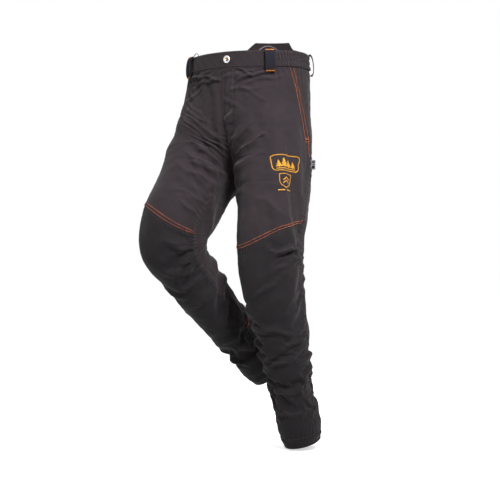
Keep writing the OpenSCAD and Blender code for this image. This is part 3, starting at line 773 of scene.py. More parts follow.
def set_uv(mesh, uv):
    layer = mesh.uv_layers.new(name="cloth")
    index = np.zeros(len(mesh.loops), dtype=np.int64)
    mesh.loops.foreach_get("vertex_index", index)
    layer.data.foreach_set("uv", uv[index].astype(np.float32).ravel())


def arc_uv(p):
    u = np.zeros(p.shape[:2])
    v = np.zeros(p.shape[:2])
    u[:, 1:] = np.cumsum(np.linalg.norm(np.diff(p, axis=1), axis=2), axis=1)
    u -= u[:, u.shape[1] // 2][:, None]
    v[1:] = np.cumsum(np.linalg.norm(np.diff(p, axis=0), axis=2), axis=0)
    return np.stack([u, v], -1)


def shell(name, outer, inner, normal=None):
    """A closed thin panel between two grids of points in mm, lit by the given outer normals."""
    nr, nc = outer.shape[:2]
    a = np.arange(nr * nc).reshape(nr, nc)
    b = a + nr * nc
    q = np.stack([a[:-1, :-1], a[:-1, 1:], a[1:, 1:], a[1:, :-1]], -1).reshape(-1, 4)
    faces = np.concatenate([
        q, (q + nr * nc)[:, ::-1],
        np.stack([a[0, 1:], a[0, :-1], b[0, :-1], b[0, 1:]], -1),
        np.stack([a[-1, :-1], a[-1, 1:], b[-1, 1:], b[-1, :-1]], -1),
        np.stack([a[1:, -1], a[:-1, -1], b[:-1, -1], b[1:, -1]], -1),
        np.stack([a[:-1, 0], a[1:, 0], b[1:, 0], b[:-1, 0]], -1)])
    i, j = nr // 2, nc // 2
    i, j = min(i, nr - 2), min(j, nc - 2)
    face_normal = np.cross(outer[i, j + 1] - outer[i, j], outer[i + 1, j] - outer[i, j])
    if face_normal @ (outer[i, j] - inner[i, j]) < 0:
        faces = faces[:, ::-1]
    pts = np.concatenate([outer.reshape(-1, 3), inner.reshape(-1, 3)])
    obj = mesh_object(name, pts * MM, faces.tolist())
    obj.data.polygons.foreach_set("use_smooth", [True] * len(obj.data.polygons))
    uv = arc_uv(outer).reshape(-1, 2) * MM
    set_uv(obj.data, np.concatenate([uv, uv]))
    if normal is not None:
        flat = normal.reshape(-1, 3)
        obj.data.normals_split_custom_set_from_vertices(np.concatenate([flat, -flat]).tolist())
    return obj


def grid_panel(name, k, rows, cols, lift, thick):
    """A panel cut from the settled cloth of side k."""
    r, c = slice(rows[0], rows[1] + 1), slice(cols[0], cols[1] + 1)
    p, n = P[k][r, c], N[k][r, c]
    out = p + n * lift
    return shell(name, out, out - n * thick, n)


def on(k, s, turn, off=0.0):
    """Points of the settled cloth of side k, off mm outside it, and the normals there."""
    s, turn = np.broadcast_arrays(np.asarray(s, float), np.asarray(turn, float))
    flat_s, flat_t = s.ravel(), turn.ravel()
    rows = np.arange(SF[k].shape[0])
    c = np.interp(flat_t, fine_turns, np.arange(len(fine_turns)))
    j = np.clip(c.astype(int), 0, len(fine_turns) - 2)
    w = c - j
    r = np.array([np.interp(a, (1 - f) * SF[k][:, i] + f * SF[k][:, i + 1], rows)
                  for a, i, f in zip(flat_s, j, w)])
    i = np.clip(r.astype(int), 0, len(rows) - 2)
    v = (r - i)[:, None]
    w = w[:, None]

    def at(g):
        return (g[i, j] * (1 - v) * (1 - w) + g[i + 1, j] * v * (1 - w)
                + g[i, j + 1] * (1 - v) * w + g[i + 1, j + 1] * v * w)
    n = unit(at(N[k]))
    return (at(P[k]) + n * off).reshape(*s.shape, 3), n.reshape(*s.shape, 3)


def side_turn(way):
    """Round the waist: way is 0 at the front, 1 left, 2 back, 3 right, 4 the front again."""
    way = np.asarray(way, float) % 4
    return np.where(way > 2, 1, 0), np.where(way > 2, 3 - way, way - 1)


def on_way(s_of_turn, way, off=0.0):
    """on() by way, with the row given as a function of turn."""
    way = np.asarray(way, float)
    side, turn = side_turn(way)
    s = s_of_turn(turn)
    p, n = np.zeros(way.shape + (3,)), np.zeros(way.shape + (3,))
    for k in (0, 1):
        m = side == k
        if m.any():
            p[m], n[m] = on(k, s[m], turn[m])
    return p + n * (off[..., None] if isinstance(off, np.ndarray) else off), n


def tube_faces(rings, sides):
    """Faces of a closed tube: rings of points, with flat ends."""
    faces = []
    for i, j in np.ndindex(rings - 1, sides):
        here, above, on_round = i * sides, (i + 1) * sides, (j + 1) % sides
        faces.append([here + j, here + on_round, above + on_round, above + j])
    return faces + [list(range(sides))[::-1], [(rings - 1) * sides + j for j in range(sides)]]


class Solid:
    """Many small closed forms gathered in one mesh."""

    def __init__(self):
        self.pts, self.faces, self.count = [], [], 0

    def add(self, pts, faces):
        self.pts.append(np.asarray(pts))
        self.faces += [[i + self.count for i in f] for f in faces]
        self.count += len(pts)

    def tube(self, line, radius, sides=6):
        """Round tube along a line of points; radius is one number or one for each point."""
        line = np.asarray(line, float)
        radius = np.broadcast_to(radius, len(line))
        tangent = unit(np.gradient(line, axis=0))
        up = np.array([0.31, 0.17, 0.93])
        x = unit(np.cross(tangent, up))
        y = np.cross(tangent, x)
        q = (np.arange(sides) * 2 * np.pi / sides)[None, :, None]
        ring = (x[:, None] * np.cos(q) + y[:, None] * np.sin(q)) * radius[:, None, None]
        pts = (line[:, None] + ring).reshape(-1, 3)
        self.add(pts, tube_faces(len(line), sides))

    def stitch(self, p, t, n, length=3.0, r=0.5):
        """One stitch of thread: a capsule whose ends dive into the cloth."""
        d = np.array([-0.5, -0.3, 0, 0.3, 0.5])
        line = p + t * (d * length)[:, None] + n * (np.array([-0.25, 0.2, 0.35, 0.2, -0.25]))[:, None]
        self.tube(line, np.array([0.5, 0.9, 1, 0.9, 0.5]) * r)

    def object(self, name):
        obj = mesh_object(name, np.concatenate(self.pts) * MM, self.faces)
        obj.data.polygons.foreach_set("use_smooth", [True] * len(obj.data.polygons))
        set_uv(obj.data, np.concatenate(self.pts)[:, [0, 2]] * MM)
        return obj


def lengths(p):
    """How far along the line p each of its points is."""
    return np.concatenate([[0], np.cumsum(np.linalg.norm(np.diff(p, axis=0), axis=1))])


def run(solid, p, n, pitch=4.4, length=3.3, r=0.5, shift=0.0):
    """A row of stitches along the points p, moved sideways by shift mm."""
    t = unit(np.gradient(p, axis=0))
    p = p + np.cross(t, n) * shift
    d = lengths(p)
    for a in np.arange(pitch / 2, d[-1], pitch):
        q = np.array([np.interp(a, d, p[:, i]) for i in range(3)])
        tt = unit(np.array([np.interp(a, d, t[:, i]) for i in range(3)]))
        nn = unit(np.array([np.interp(a, d, n[:, i]) for i in range(3)]))
        solid.stitch(q, tt, nn, length, r)


def thread_piece(solid, name, material, body=None):
    """The gathered stitches as one piece, riding on a body where one is given."""
    obj = finish_piece(solid.object(name), material)
    if body:
        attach(obj, body)
    return obj


def bartack(solid, p, n, r=0.42, width=2.6):
    """A dense bar of cross stitches along the points p."""
    d = lengths(p)
    t = unit(np.gradient(p, axis=0))
    for a in np.arange(0.4, d[-1], 0.8):
        q = np.array([np.interp(a, d, p[:, i]) for i in range(3)])
        i = min(int(np.searchsorted(d, a)), len(p) - 1)
        solid.stitch(q + n[i] * 0.3, np.cross(n[i], t[i]), n[i], width, r)


def to_hips(obj, k):
    """Bakes the piece's placement into its mesh."""
    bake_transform(obj)


def to_knee(obj, k):
    """Bakes the piece's placement into its mesh."""
    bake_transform(obj)


# ---------------------------------------------------------------- the legs' panels
END = len(fine_turns) - 1
for k, side in enumerate(SIDES):
    front, back = (0, SEAM_COL), (SEAM_COL, END)
    upper, thigh, leg, ankle, hem = FR[1], FR[3], FR[4], FR[6], FR[7]
    hem_top = int(np.searchsorted(SF[k][:, 0], LEG - HEM_H))
    pieces = (
        ("front_upper", (upper, thigh), front, 0, 1.3, "anthracite_cloth", to_hips,
         ("hip_front", "hip_crease")),
        ("seat_cloth", (upper, thigh), back, -0.1, 1.3, "anthracite_cloth", to_hips, ("seat",)),
        ("front_thigh_cloth", (thigh, leg), front, 0, 1.3, "anthracite_cloth", to_knee, ("front_thigh",)),
        ("front_lower_cloth", (leg, hem_top), front, -0.2, 1.3, "dark_cloth", to_knee,
         ("knee_front", "shin_front")),
        ("back_leg_cloth", (thigh, ankle), back, -0.1, 1.3, "anthracite_cloth", to_knee,
         ("back_thigh", "knee_back", "calf_back")),
        ("ankle_cloth", (ankle, hem_top), back, -0.2, 1.3, "dark_cloth", to_knee, ("ankle_back",)),
        ("hem_cloth", (hem_top, hem), (0, END), 0.2, 2.4, "dark_cloth", to_knee, ("hem_band",)),
    )
    for name, rows, cols, lift, thick, material, follow, nodes in pieces:
        obj = grid_panel(f"{name}_{side}", k, rows, cols, lift, thick)
        finish_piece(obj, material, nodes=[f"{n}_{side}" for n in nodes])
        follow(obj, k)


# ---------------------------------------------------------------- padding and lining inside the legs
def layer(name, k, turns, s_top, s_low, off, thick, crown, n_row):
    """A layer inside the cloth, smooth under its folds and clear of their hollows."""
    rows = np.linspace(0, 1, n_row)[:, None]
    t = np.asarray(turns)[None, :]
    s = s_top(t) + (s_low(t) - s_top(t)) * rows
    cloth, n = on(k, s, np.broadcast_to(t, s.shape))
    p = cloth.copy()
    for _ in range(30):  # lies smooth under the outer cloth's wrinkles
        p[1:-1] = (p[:-2] + 2 * p[1:-1] + p[2:]) / 4
        p[:, 1:-1] = (p[:, :-2] + 2 * p[:, 1:-1] + p[:, 2:]) / 4
    hollow = -((cloth - p) * n).sum(-1)
    for _ in range(3):
        wide = np.pad(hollow, 1, mode="edge")
        hollow = np.max([wide[a:a + hollow.shape[0], b:b + hollow.shape[1]] for a, b in np.ndindex(3, 3)], 0)
    off = (off + np.maximum(hollow - off + 4.5, 0) if crown else off + np.maximum(hollow - 2, 0))[..., None]
    edge = np.minimum(np.minimum(rows, 1 - rows) * (s_low(t) - s_top(t)) / 10, 1)
    side_edge = np.minimum(np.minimum(np.arange(len(turns)), np.arange(len(turns))[::-1]) / 2, 1)[None, :]
    puff = np.sqrt(np.clip(edge * side_edge, 0.03, 1)) if crown else np.ones_like(s)
    mid = p - n * (off + thick / 2)
    return shell(name, mid + n * (thick / 2 * puff)[..., None], mid - n * (thick / 2 * puff)[..., None], n)


PAD_IN, PAD_T, LINING_IN, LINING_T = 6.5, 5.2, 13.2, 0.9


def leg_layers(k, part, s_top, pad_low, lining_low, n_row, follow):
    """The cut padding and the lining of one part of a leg."""
    side = SIDES[k]
    pad_nodes, lining_nodes = ((), ()) if part == "upper" else (
        ("thigh_pad", "knee_pad", "shin_pad"), ("thigh_lining", "shin_lining"))
    pad = layer(f"cut_padding_{part}_{side}", k, np.linspace(-0.88, -0.06, 68), s_top, pad_low,
                PAD_IN, PAD_T, True, n_row)
    finish_piece(pad, "protection", nodes=[f"{n}_{side}" for n in pad_nodes])
    follow(pad, k)
    lining = layer(f"leg_lining_{part}_{side}", k, np.linspace(-0.985, 0.985, 130), s_top, lining_low,
                   LINING_IN, LINING_T, False, n_row)
    finish_piece(lining, "lining", nodes=[f"{n}_{side}" for n in lining_nodes])
    follow(lining, k)


def layer_top(t):
    return 95 + 110 * smooth((np.abs(t) - 0.35) / 0.5)


for k, side in enumerate(SIDES):
    creased = lambda t: np.maximum(np.interp(t, fine_turns, SF[k][FR[3]]), layer_top(t) + 6)
    leg_layers(k, "upper", layer_top, creased, creased, 40, to_hips)
    leg_layers(k, "lower", creased, lambda t: 0 * t + LEG - 44, lambda t: 0 * t + LEG - 26, 140, to_knee)
    turns = np.linspace(-0.45, -0.06, 22)[None, :]
    s = np.linspace(-136, -66, 24)[:, None] + 8 * np.abs(turns)
    p, n = on(k, *np.broadcast_arrays(s, turns))
    n2 = n * (1 + 0.2 * np.sin(s / 9)[..., None])
    bag = shell(f"pocket_bag_cloth_{side}", p - n * 4.2, p - n * 4.2 - n2 * 1.4, n)
    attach(finish_piece(bag, "lining", nodes=[f"pocket_bag_{side}"]), "hips")


# ---------------------------------------------------------------- waistband
CHANNELS, EDGE_ROW, GATHER = (14, 28), 2.6, 9.5  # sewn rows down the band, and the gathers' spacing, in mm


def band_surface(way, v, off):
    """Waistband points: v mm below its top edge, off mm out, from the plain surface."""
    side, turn = side_turn(way)
    p = np.zeros(np.broadcast(way, v).shape + (3,))
    q = np.zeros_like(p)
    way, v, off, side, turn = np.broadcast_arrays(way, v, off, side, turn)
    for k in (0, 1):
        m = side == k
        if m.any():
            s = waist_top(turn[m]) + v[m]
            p[m] = WORN.cloth(k, s, turn[m], off[m])
            q[m] = WORN.cloth(k, s, turn[m], off[m] + 1.0)
    return p, unit(q - p)


def band_panel(name, way0, way1, off, thick, v0=0.0, v1=BAND_H, nodes=(), material="anthracite_cloth",
               rows=26, relief=None, step=2.6):
    count = max(4, int(abs(way1 - way0) * WAY_MM / step))
    ways = np.linspace(way0, way1, count)[None, :]
    v = np.linspace(v0, v1, rows)[:, None]
    ways, v = np.broadcast_arrays(ways, v)
    rim = np.minimum(np.minimum(v - v0, v1 - v) / 2.2, 1)
    h = off - 0.9 * (1 - np.sqrt(np.clip(rim, 0, 1))) + (relief(ways, v) if relief else 0)
    out, n = band_surface(ways, v, h)
    back, _ = band_surface(ways, v, off - thick + 0.5 * (1 - np.sqrt(np.clip(rim, 0, 1))) + 0 * h)
    grid_n = unit(np.cross(np.gradient(out, axis=0), np.gradient(out, axis=1)))
    grid_n *= np.sign((grid_n * n).sum(-1, keepdims=True))
    return finish_piece(shell(name, out, back, grid_n), material, nodes=nodes)


def ruched(ways, v):
    """Gathers of the elastic back and sides, held by two sewn channels."""
    x = ways * WAY_MM
    inside = smooth((ways % 4 - 0.54) / 0.05) * smooth((3.46 - ways % 4) / 0.05)
    phase = 2 * np.pi * x / GATHER
    wobble = 1.7 * np.sin(x / 23.0) + 0.9 * np.sin(x / 7.3 + v / 9)
    lines = np.minimum(np.minimum(*(np.abs(v - c) for c in CHANNELS)), np.minimum(v, BAND_H - v))
    deep = 0.35 + 0.65 * smooth(lines / 5)
    soft = 1.7 * np.sin(phase + wobble + 0.9 * np.sin(v / 5)) + 0.7 * np.sin(phase * 2.13 + wobble * 2)
    return inside * (soft * deep + 0.5) - inside * 0.9 * np.exp(-(lines / 1.4) ** 2)


def slight(ways, v):
    x = ways * WAY_MM
    return 0.3 * np.sin(x / 11 + v / 13) + 0.2 * np.sin(x / 4.1 - v / 5) + ruched(ways, v)


FLY_EDGE = -0.017
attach(band_panel("band_front_left", FLY_EDGE, 0.62, 2.4, 2.9, nodes=["waistband_front_left"],
                   relief=slight), "hips")
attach(band_panel("band_front_right", -0.62, FLY_EDGE - 0.004, 2.0, 2.7, nodes=["waistband_front_right"],
                   relief=slight), "hips")
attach(band_panel("band_back", 0.622, 3.378, 2.3, 2.6, nodes=["waistband_back"], relief=ruched,
                   step=1.7), "hips")
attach(band_panel("band_lining", 0.63, 3.37, -1.2, 1.4, 4, 38, nodes=["waist_elastic"], material="elastic",
                   relief=lambda w, v: 0.35 * np.sin(w * WAY_MM * 2 * np.pi / GATHER)), "hips")

FLAP_START, FLAP_END, FLAP_RISE, FLAP_TOP, FLAP_IN = 1.665, 2.385, 28, 71, -4.3
flap_way = np.linspace(FLAP_START, FLAP_END, 130)[None, :]
share = np.linspace(0, 1, 26)[:, None]
rise = FLAP_RISE * smooth((flap_way - FLAP_START) / 0.13) * smooth((FLAP_END - flap_way) / 0.27)
level = band_surface(flap_way, 0.0 * flap_way, FLAP_IN)[0][..., 2]
rise = np.minimum(rise, FLAP_TOP - 24 * np.clip(2.2 - flap_way, 0, 1) - level)
flap_v = -rise + (30 + rise) * share
flap_way, flap_v = np.broadcast_arrays(flap_way, flap_v)
flap_off = FLAP_IN + 0.35 * np.sin(flap_way * 61) * np.cos(flap_v / 9)
flap_out, flap_n = band_surface(flap_way, flap_v, flap_off)
flap = shell("kidney_flap_cloth", flap_out, flap_out - flap_n * 1.5, flap_n)
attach(finish_piece(flap, "anthracite_cloth", nodes=["kidney_flap"]), "hips")

waist_grey, waist_orange = Solid(), Solid()
for way0, way1, lift in ((FLY_EDGE + 0.01, 0.62, 2.5), (-0.62, FLY_EDGE - 0.02, 2.1)):
    ways = np.linspace(way0, way1, 80)
    for v in (EDGE_ROW, BAND_H - EDGE_ROW):
        p, n = band_surface(ways, np.full_like(ways, v), np.full_like(ways, lift - 0.1))
        run(waist_grey, p, n, pitch=3.6, length=2.7, r=0.42)
ways = np.linspace(0.64, 3.36, 900)
for v in (EDGE_ROW, *CHANNELS, BAND_H - EDGE_ROW):
    vv = np.full_like(ways, v)
    p, n = band_surface(ways, vv, 2.3 + ruched(ways, vv))
    run(waist_grey, p, n, pitch=4.0, length=3.0, r=0.42)

# ---------------------------------------------------------------- belt loops
FRONT_WAY, SIDE_WAY, LOOP_W, LOOP_H, LOOP_GAP, WEB_T = 0.49, 1.24, 26.0, 57.0, 9.0, 1.8


def loop_frame(way):
    def at(w, v, off=0.0):
        return band_surface(np.array([w]), np.array([v]), np.array([off]))[0][0]
    mid = LOOP_H / 2 - 1.5
    right = unit(at(way + 0.02, mid) - at(way - 0.02, mid))
    high, low = at(way, mid - LOOP_H / 2, 2.5), at(way, mid + LOOP_H / 2, 2.5)
    z = unit(high - low)
    x = unit(right - (right @ z) * z)
    return (high + low) / 2, x, np.cross(z, x), z


for name, way in (("front_left", FRONT_WAY), ("front_right", 4 - FRONT_WAY), ("side_left", SIDE_WAY),
                  ("side_right", 4 - SIDE_WAY), ("back", 2.0)):
    c, x, y, z = loop_frame(way)
    q = np.linspace(-90, 90, 61) * np.pi / 180
    out = (LOOP_GAP + WEB_T) * np.cos(q) ** 0.6
    inner = np.maximum(LOOP_GAP * np.cos(q) ** 0.6, 0.0)
    high = LOOP_H / 2
    across = np.linspace(-LOOP_W / 2, LOOP_W / 2, 85)
    rib = 0.32 * np.cos(across * 2 * np.pi / 2.0) - 0.5 * (np.abs(across) > LOOP_W / 2 - 0.5)
    rib = rib[None, :] * np.ones((61, 1))
    strap = c + x * across[None, :, None]
    pts = [strap - y * (o[:, None] + rib * f)[..., None] + z * (h * np.sin(q))[:, None, None]
           for o, h, f in ((out, high, 1.0), (inner, high - 2.6, 0.0))]
    loop = shell(f"webbing_loop_{name}", pts[0], pts[1])
    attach(finish_piece(loop, "webbing", nodes=[f"belt_loop_{name}"]), "hips")
    for end in (-1, 1):
        angle = end * math.radians(74)
        depth = (LOOP_GAP + WEB_T) * math.cos(angle) ** 0.6 + 0.3
        line = c + x * np.linspace(-LOOP_W / 2 + 2, LOOP_W / 2 - 2, 12)[:, None]
        line = line - y * depth + z * high * math.sin(angle)
        lean_n = unit(-y * 0.75 + z * end * 0.65)
        bartack(waist_orange, line, np.broadcast_to(lean_n, line.shape), r=0.5, width=3.0)

# ---------------------------------------------------------------- hanger cords
CORD_R, HANGER_R, HANGER_DROP, HANGER_IN = 1.1, 32, 20, -8.2
cords = Solid()
for way in (FRONT_WAY, 4 - FRONT_WAY):
    base = band_surface(np.array([way]), np.array([0.0]), np.array([HANGER_IN]))[0][0]
    base = base + np.array([0, 0, waist_top(side_turn(way)[1]) - WAIST_S])  # down to the waist's own level
    e = band_surface(np.array([way - 0.02, way + 0.02]), np.array([0.0, 0.0]), np.array([0.0, 0.0]))[0]
    d = unit((e[1] - e[0]) * np.array([1, 1, 0]))
    q = np.linspace(0, np.pi, 40)
    arc = np.cos(q)[:, None] * d + np.sin(q)[:, None] * np.array([0, 0, 1])
    line = base - np.array([0, 0, HANGER_DROP]) + HANGER_R * arc
    line = line + 0.8 * np.sin(3 * q)[:, None] * np.cross(d, [0, 0, 1])
    twist = 1.0 + 0.12 * np.sin(np.arange(40) * 2.1)
    cords.tube(line, CORD_R * twist, sides=10)
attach(finish_piece(cords.object("hanger_cords"), "cord", nodes=["hanger_loops"]), "hips")


# ---------------------------------------------------------------- button
def lathe(profile, segments=64):
    """Closed ring or disc from (radius, height) points, turned round Z."""
    prof = np.asarray(profile, float)
    q = np.arange(segments) * 2 * np.pi / segments
    r, z = prof[:, None, 0], np.repeat(prof[:, 1:2], segments, 1)
    pts = np.stack([r * np.cos(q), r * np.sin(q), z], -1)
    return pts.reshape(-1, 3), tube_faces(len(prof), segments)


def lathed(name, profile, place):
    solid = Solid()
    pts, faces = lathe(profile)
    pts = np.stack([pts[:, 0], -pts[:, 2], pts[:, 1]], -1)  # the axis points to -Y
    solid.add(pts + place, faces)
    return solid.object(name)


low, high = (np.array(v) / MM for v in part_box("button_cap"))
mid = np.array([(low[0] + high[0]) / 2, high[1], (low[2] + high[2]) / 2])
cap = lathed("button_ring", ((2.2, 0.0), (8.6, 0.0), (9.5, 0.35), (9.95, 1.1), (9.8, 2.0), (9.1, 2.8),
                             (8.2, 3.25),
                             (7.2, 3.4), (6.2, 3.2), (5.2, 2.7), (4.6, 2.2), (4.3, 1.7), (3.0, 1.6)), mid)
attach(finish_piece(cap, "button_metal", nodes=["button_cap"]), "button")
# the button's well is coloured black: painted shade standing in for the recess's shadow
well = lathed("button_well_painted_shade", ((4.2, 1.5), (4.2, 1.75), (3.6, 1.65), (2.4, 1.6), (1.7, 1.6)), mid)
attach(finish_piece(well, "black"), "button")
centre = lathed("button_centre", ((1.9, 1.5), (1.9, 2.1), (1.6, 2.4), (1.0, 2.55), (0.3, 2.6)), mid)
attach(finish_piece(centre, "bright"), "button")

# ---------------------------------------------------------------- fly, yoke and their stitches
hip_orange = [Solid(), Solid()]
hip_grey = [Solid(), Solid()]


def overlay(name, way0, way1, top, low, off, thick, nodes, material="anthracite_cloth", n_row=40, n_way=50):
    """A panel sewn on the cloth, from row top to row low, functions of turn."""
    ways = np.linspace(way0, way1, n_way)[None, :]
    share = np.linspace(0, 1, n_row)[:, None]
    ways, share = np.broadcast_arrays(ways, share)
    rim = np.minimum(np.minimum(share, 1 - share) * n_row,
                     np.minimum(np.arange(n_way), np.arange(n_way)[::-1])[None, :])
    h = off - 0.6 * (1 - np.clip(rim / 1.5, 0, 1))
    p, n = on_way(lambda t: top(t) + (low(t) - top(t)) * share, ways)
    out = p + n * h[..., None]
    return finish_piece(shell(name, out, out - n * thick, n), material, nodes=nodes)


def below_band(d):
    return lambda t: waist_top(t) + BAND_H + d


def at_row(s):
    return lambda t: 0 * t + s


placket = overlay("fly_cloth", FLY_EDGE, 0.13, below_band(0.3), at_row(-2), 1.7, 1.2, ["fly_placket"])
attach(placket, "hips")
yoke_l = overlay("yoke_cloth_left", 0.133, 0.52, below_band(0.3), below_band(34), 1.5, 1.1, ["front_yoke"])
yoke_r = overlay("yoke_cloth_right", -0.52, FLY_EDGE - 0.006, below_band(0.3), below_band(34), 1.3, 1.1, ())
for obj in (yoke_l, yoke_r):
    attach(obj, "hips")


for ways in (np.linspace(0.14, 0.5, 60), np.linspace(-0.5, FLY_EDGE - 0.012, 60)):
    k = 0 if ways[0] > 0 else 1
    for d in (29, 32):
        p, n = on_way(below_band(d), ways, 1.5)
        run(hip_grey[k], p, n, pitch=3.8, length=2.9, r=0.42)
# the placket's curved row of cross stitches, and its edge
fly_rungs = Solid()
v = np.linspace(0, 1, 60)
s_line = -138 + 132 * v
ladder = 0.115 - 0.12 * smooth((v - 0.78) / 0.22)
p, n = on(0, s_line, ladder - 1, 1.8)
t = unit(np.gradient(p, axis=0))
d = lengths(p)
for a in np.arange(1, d[-1] * 0.97, 3.2):
    i = int(np.searchsorted(d, a)) - 1
    i = max(i, 0)
    w = (a - d[i]) / max(d[i + 1] - d[i], 1e-6)
    q = p[i] * (1 - w) + p[i + 1] * w
    fly_rungs.stitch(q + n[i] * 0.2, np.cross(t[i], n[i]), n[i], 7.0, 0.7)
p, n = on(0, np.linspace(-140, -4, 60), np.full(60, FLY_EDGE + 0.022 - 1), 1.8)
run(hip_grey[0], p, n, pitch=3.8, length=2.9, r=0.42)

thread_piece(fly_rungs, "fly_cross_stitches", "pale_thread", "hips")

lo, hi = (np.array(v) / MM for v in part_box("fly_shield"))
gx, gz = np.meshgrid(np.linspace(lo[0] + 0.2, hi[0] - 0.2, 24), np.linspace(hi[2], lo[2], 50))
y = (lo[1] + hi[1]) / 2 + 0.15 * np.sin(gz / 7 + gx / 9)
face = np.stack([gx, y - 0.4, gz], -1)
shield = shell("fly_shield_cloth", face, face + [0, 0.8, 0])
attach(finish_piece(shield, "anthracite_cloth", nodes=["fly_shield"]), "hips")
lo, hi = (np.array(v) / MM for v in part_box("fly_zip_tapes"))
for j, (x0, x1) in enumerate(((lo[0], -2.6), (2.6, hi[0]))):
    gx, gz = np.meshgrid(np.linspace(x0, x1, 24), np.linspace(hi[2], lo[2], 60))
    y = (lo[1] + hi[1]) / 2 + 0.12 * np.cos(gx * 2 * np.pi / 1.9)
    face = np.stack([gx, y - 0.3, gz], -1)
    tape = finish_piece(shell(f"zip_tape_{SIDES[1 - j]}", face, face + [0, 0.55, 0]), "tape",
                        nodes=["fly_zip_tapes"] if j == 0 else ())
    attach(tape, "hips")

# ---------------------------------------------------------------- pockets
for k in (0, 1):
    s_line = np.linspace(-143, 44, 150)
    turn = pocket_turn(s_line)
    p, n = on(k, s_line, turn)
    edge = unit(np.gradient(p, axis=0))
    out = np.cross(edge, n)
    width = np.linspace(-1, 1, 9)
    crown = n[:, None] * (1.0 * np.sqrt(1 - 0.97 * width ** 2))[None, :, None]
    strip = p[:, None] + out[:, None] * (width * 2.2)[None, :, None] + crown
    welt = shell(f"pocket_edge_{SIDES[k]}", strip, strip - n[:, None] * 1.3)
    to_hips(finish_piece(welt, "anthracite_cloth"), k)
    thread = hip_orange[k] if k == 0 else hip_grey[k]
    for shift in (2.5, 13.5):
        q, m = on(k, s_line, turn - shift / TURN_MM, 0.35)
        run(thread, q, m, pitch=5.2, length=3.8, r=0.75)
    q, m = on(k, np.full(10, 36.0), pocket_turn(36.0) - np.linspace(4, 14, 10) / TURN_MM, 0.5)
    bartack(thread, q, m, r=0.6)
p, n = on(0, np.linspace(40, 84, 30), np.linspace(0.012, 0.045, 30), 0.2)
run(hip_orange[0], p, n, r=0.7)

POCKET = (2.24, 2.72, -118.0)
pocket = overlay("back_pocket_cloth", POCKET[0], POCKET[1], at_row(POCKET[2] + 8), at_row(-61), 1.9, 1.3,
                 ["back_pocket"])
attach(pocket, "hips")
pocket_flap = overlay("back_pocket_flap_cloth", POCKET[0] - 0.015, POCKET[1] + 0.015, at_row(POCKET[2]),
                      at_row(POCKET[2] + 42), 4.2, 1.5, ["back_pocket_flap"])
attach(pocket_flap, "pocket_flap")
flap_thread = Solid()
for d in (3, 38):
    p, n = on_way(at_row(POCKET[2] + d), np.linspace(POCKET[0] + 0.005, POCKET[1] - 0.005, 50), 4.3)
    run(flap_thread, p, n, r=0.45)
thread_piece(flap_thread, "back_pocket_flap_stitches", "orange", "pocket_flap")
pocket_thread = Solid()
for w in (POCKET[0] + 0.02, POCKET[1] - 0.02):
    p, n = on_way(lambda t: np.linspace(-76, -64, 8), np.full(8, w), 2.0)
    run(pocket_thread, p, n, r=0.45)
p, n = on_way(at_row(-64), np.linspace(POCKET[0] + 0.02, POCKET[1] - 0.02, 50), 2.0)
run(pocket_thread, p, n, r=0.45)
thread_piece(pocket_thread, "back_pocket_stitches", "orange", "hips")

# ---------------------------------------------------------------- seams of the legs
DOUBLE_ROW, ORANGE_R, GREY_R = (-3.5, -9.5), 0.68, 0.42
leg_orange = [Solid(), Solid()]
leg_grey = [Solid(), Solid()]
for k in (0, 1):
    turns = np.linspace(-0.985, OUTSEAM - 0.01, 160)
    for d in DOUBLE_ROW:
        p, n = on(k, seam_row(k, turns) + d, turns, 0.1)
        run(leg_orange[k], p, n, r=ORANGE_R)
    turns = np.linspace(OUTSEAM + 0.01, 0.985, 130)
    for d in DOUBLE_ROW:
        p, n = on(k, ANKLE_S + d + 0 * turns, turns, 0.1)
        run(leg_orange[k], p, n, r=ORANGE_R)
    turns = np.linspace(-0.985, 0.985, 240)
    p, n = on(k, LEG - HEM_H + 3 + 0 * turns, turns, 0.4)
    run(leg_grey[k], p, n, r=GREY_R)
    for turn, shift in ((OUTSEAM, -3.0), (-0.995, 3.0)):
        s_line = np.linspace(250, LEG - HEM_H - 2, 240)
        p, n = on(k, s_line, np.full(240, turn), 0.1)
        run(leg_grey[k], p, n, r=GREY_R, shift=shift * SIGN[k])
    p, n = on(k, np.linspace(90, 228, 60) * 0.72 + 20, np.full(60, OUTSEAM), 0.1)
    run(hip_grey[k], p, n, r=GREY_R, shift=-3.0 * SIGN[k])

# ---------------------------------------------------------------- print and label
BADGE_MID = -0.29


def badge_point(x, y, box):
    """A place in a badge: x, y from 0 to 1 across it."""
    s0, height, t0, t1 = box
    x, y = np.asarray(x, float), np.asarray(y, float)
    turn = t0 + (t1 - t0) * x + (0.036 - 0.015 * x) * y
    return s0 + height * np.asarray(y, float) - 68 * (turn - BADGE_MID), turn


def print_line(solid, xy, box, width=1.7, thick=0.35, closed=False):
    """A flat printed line along points of a badge."""
    xy = np.asarray(xy, float)
    if closed:
        xy = np.concatenate([xy, xy[:1]])
    d = lengths(xy * [80, box[1]])
    a = np.linspace(0, d[-1], max(3, int(d[-1] / 1.6)))
    x, y = np.interp(a, d, xy[:, 0]), np.interp(a, d, xy[:, 1])
    p, n = on(0, *badge_point(x, y, box))
    t = unit(np.gradient(p, axis=0))
    o = np.cross(t, n) * width / 2
    m = len(p)
    low, high = n * 0.15, n * (0.15 + thick)
    pts = np.concatenate([p + o + low, p - o + low, p - o * 0.8 + high, p + o * 0.8 + high])
    faces = []
    for i in range(m - 1):
        for j in range(4):
            b, c = j * m, (j + 1) % 4 * m
            faces.append([b + i, c + i, c + i + 1, b + i + 1])
    faces += [[3 * m, 2 * m, m, 0], [m - 1, 2 * m - 1, 3 * m - 1, 4 * m - 1]]
    solid.add(pts, faces)


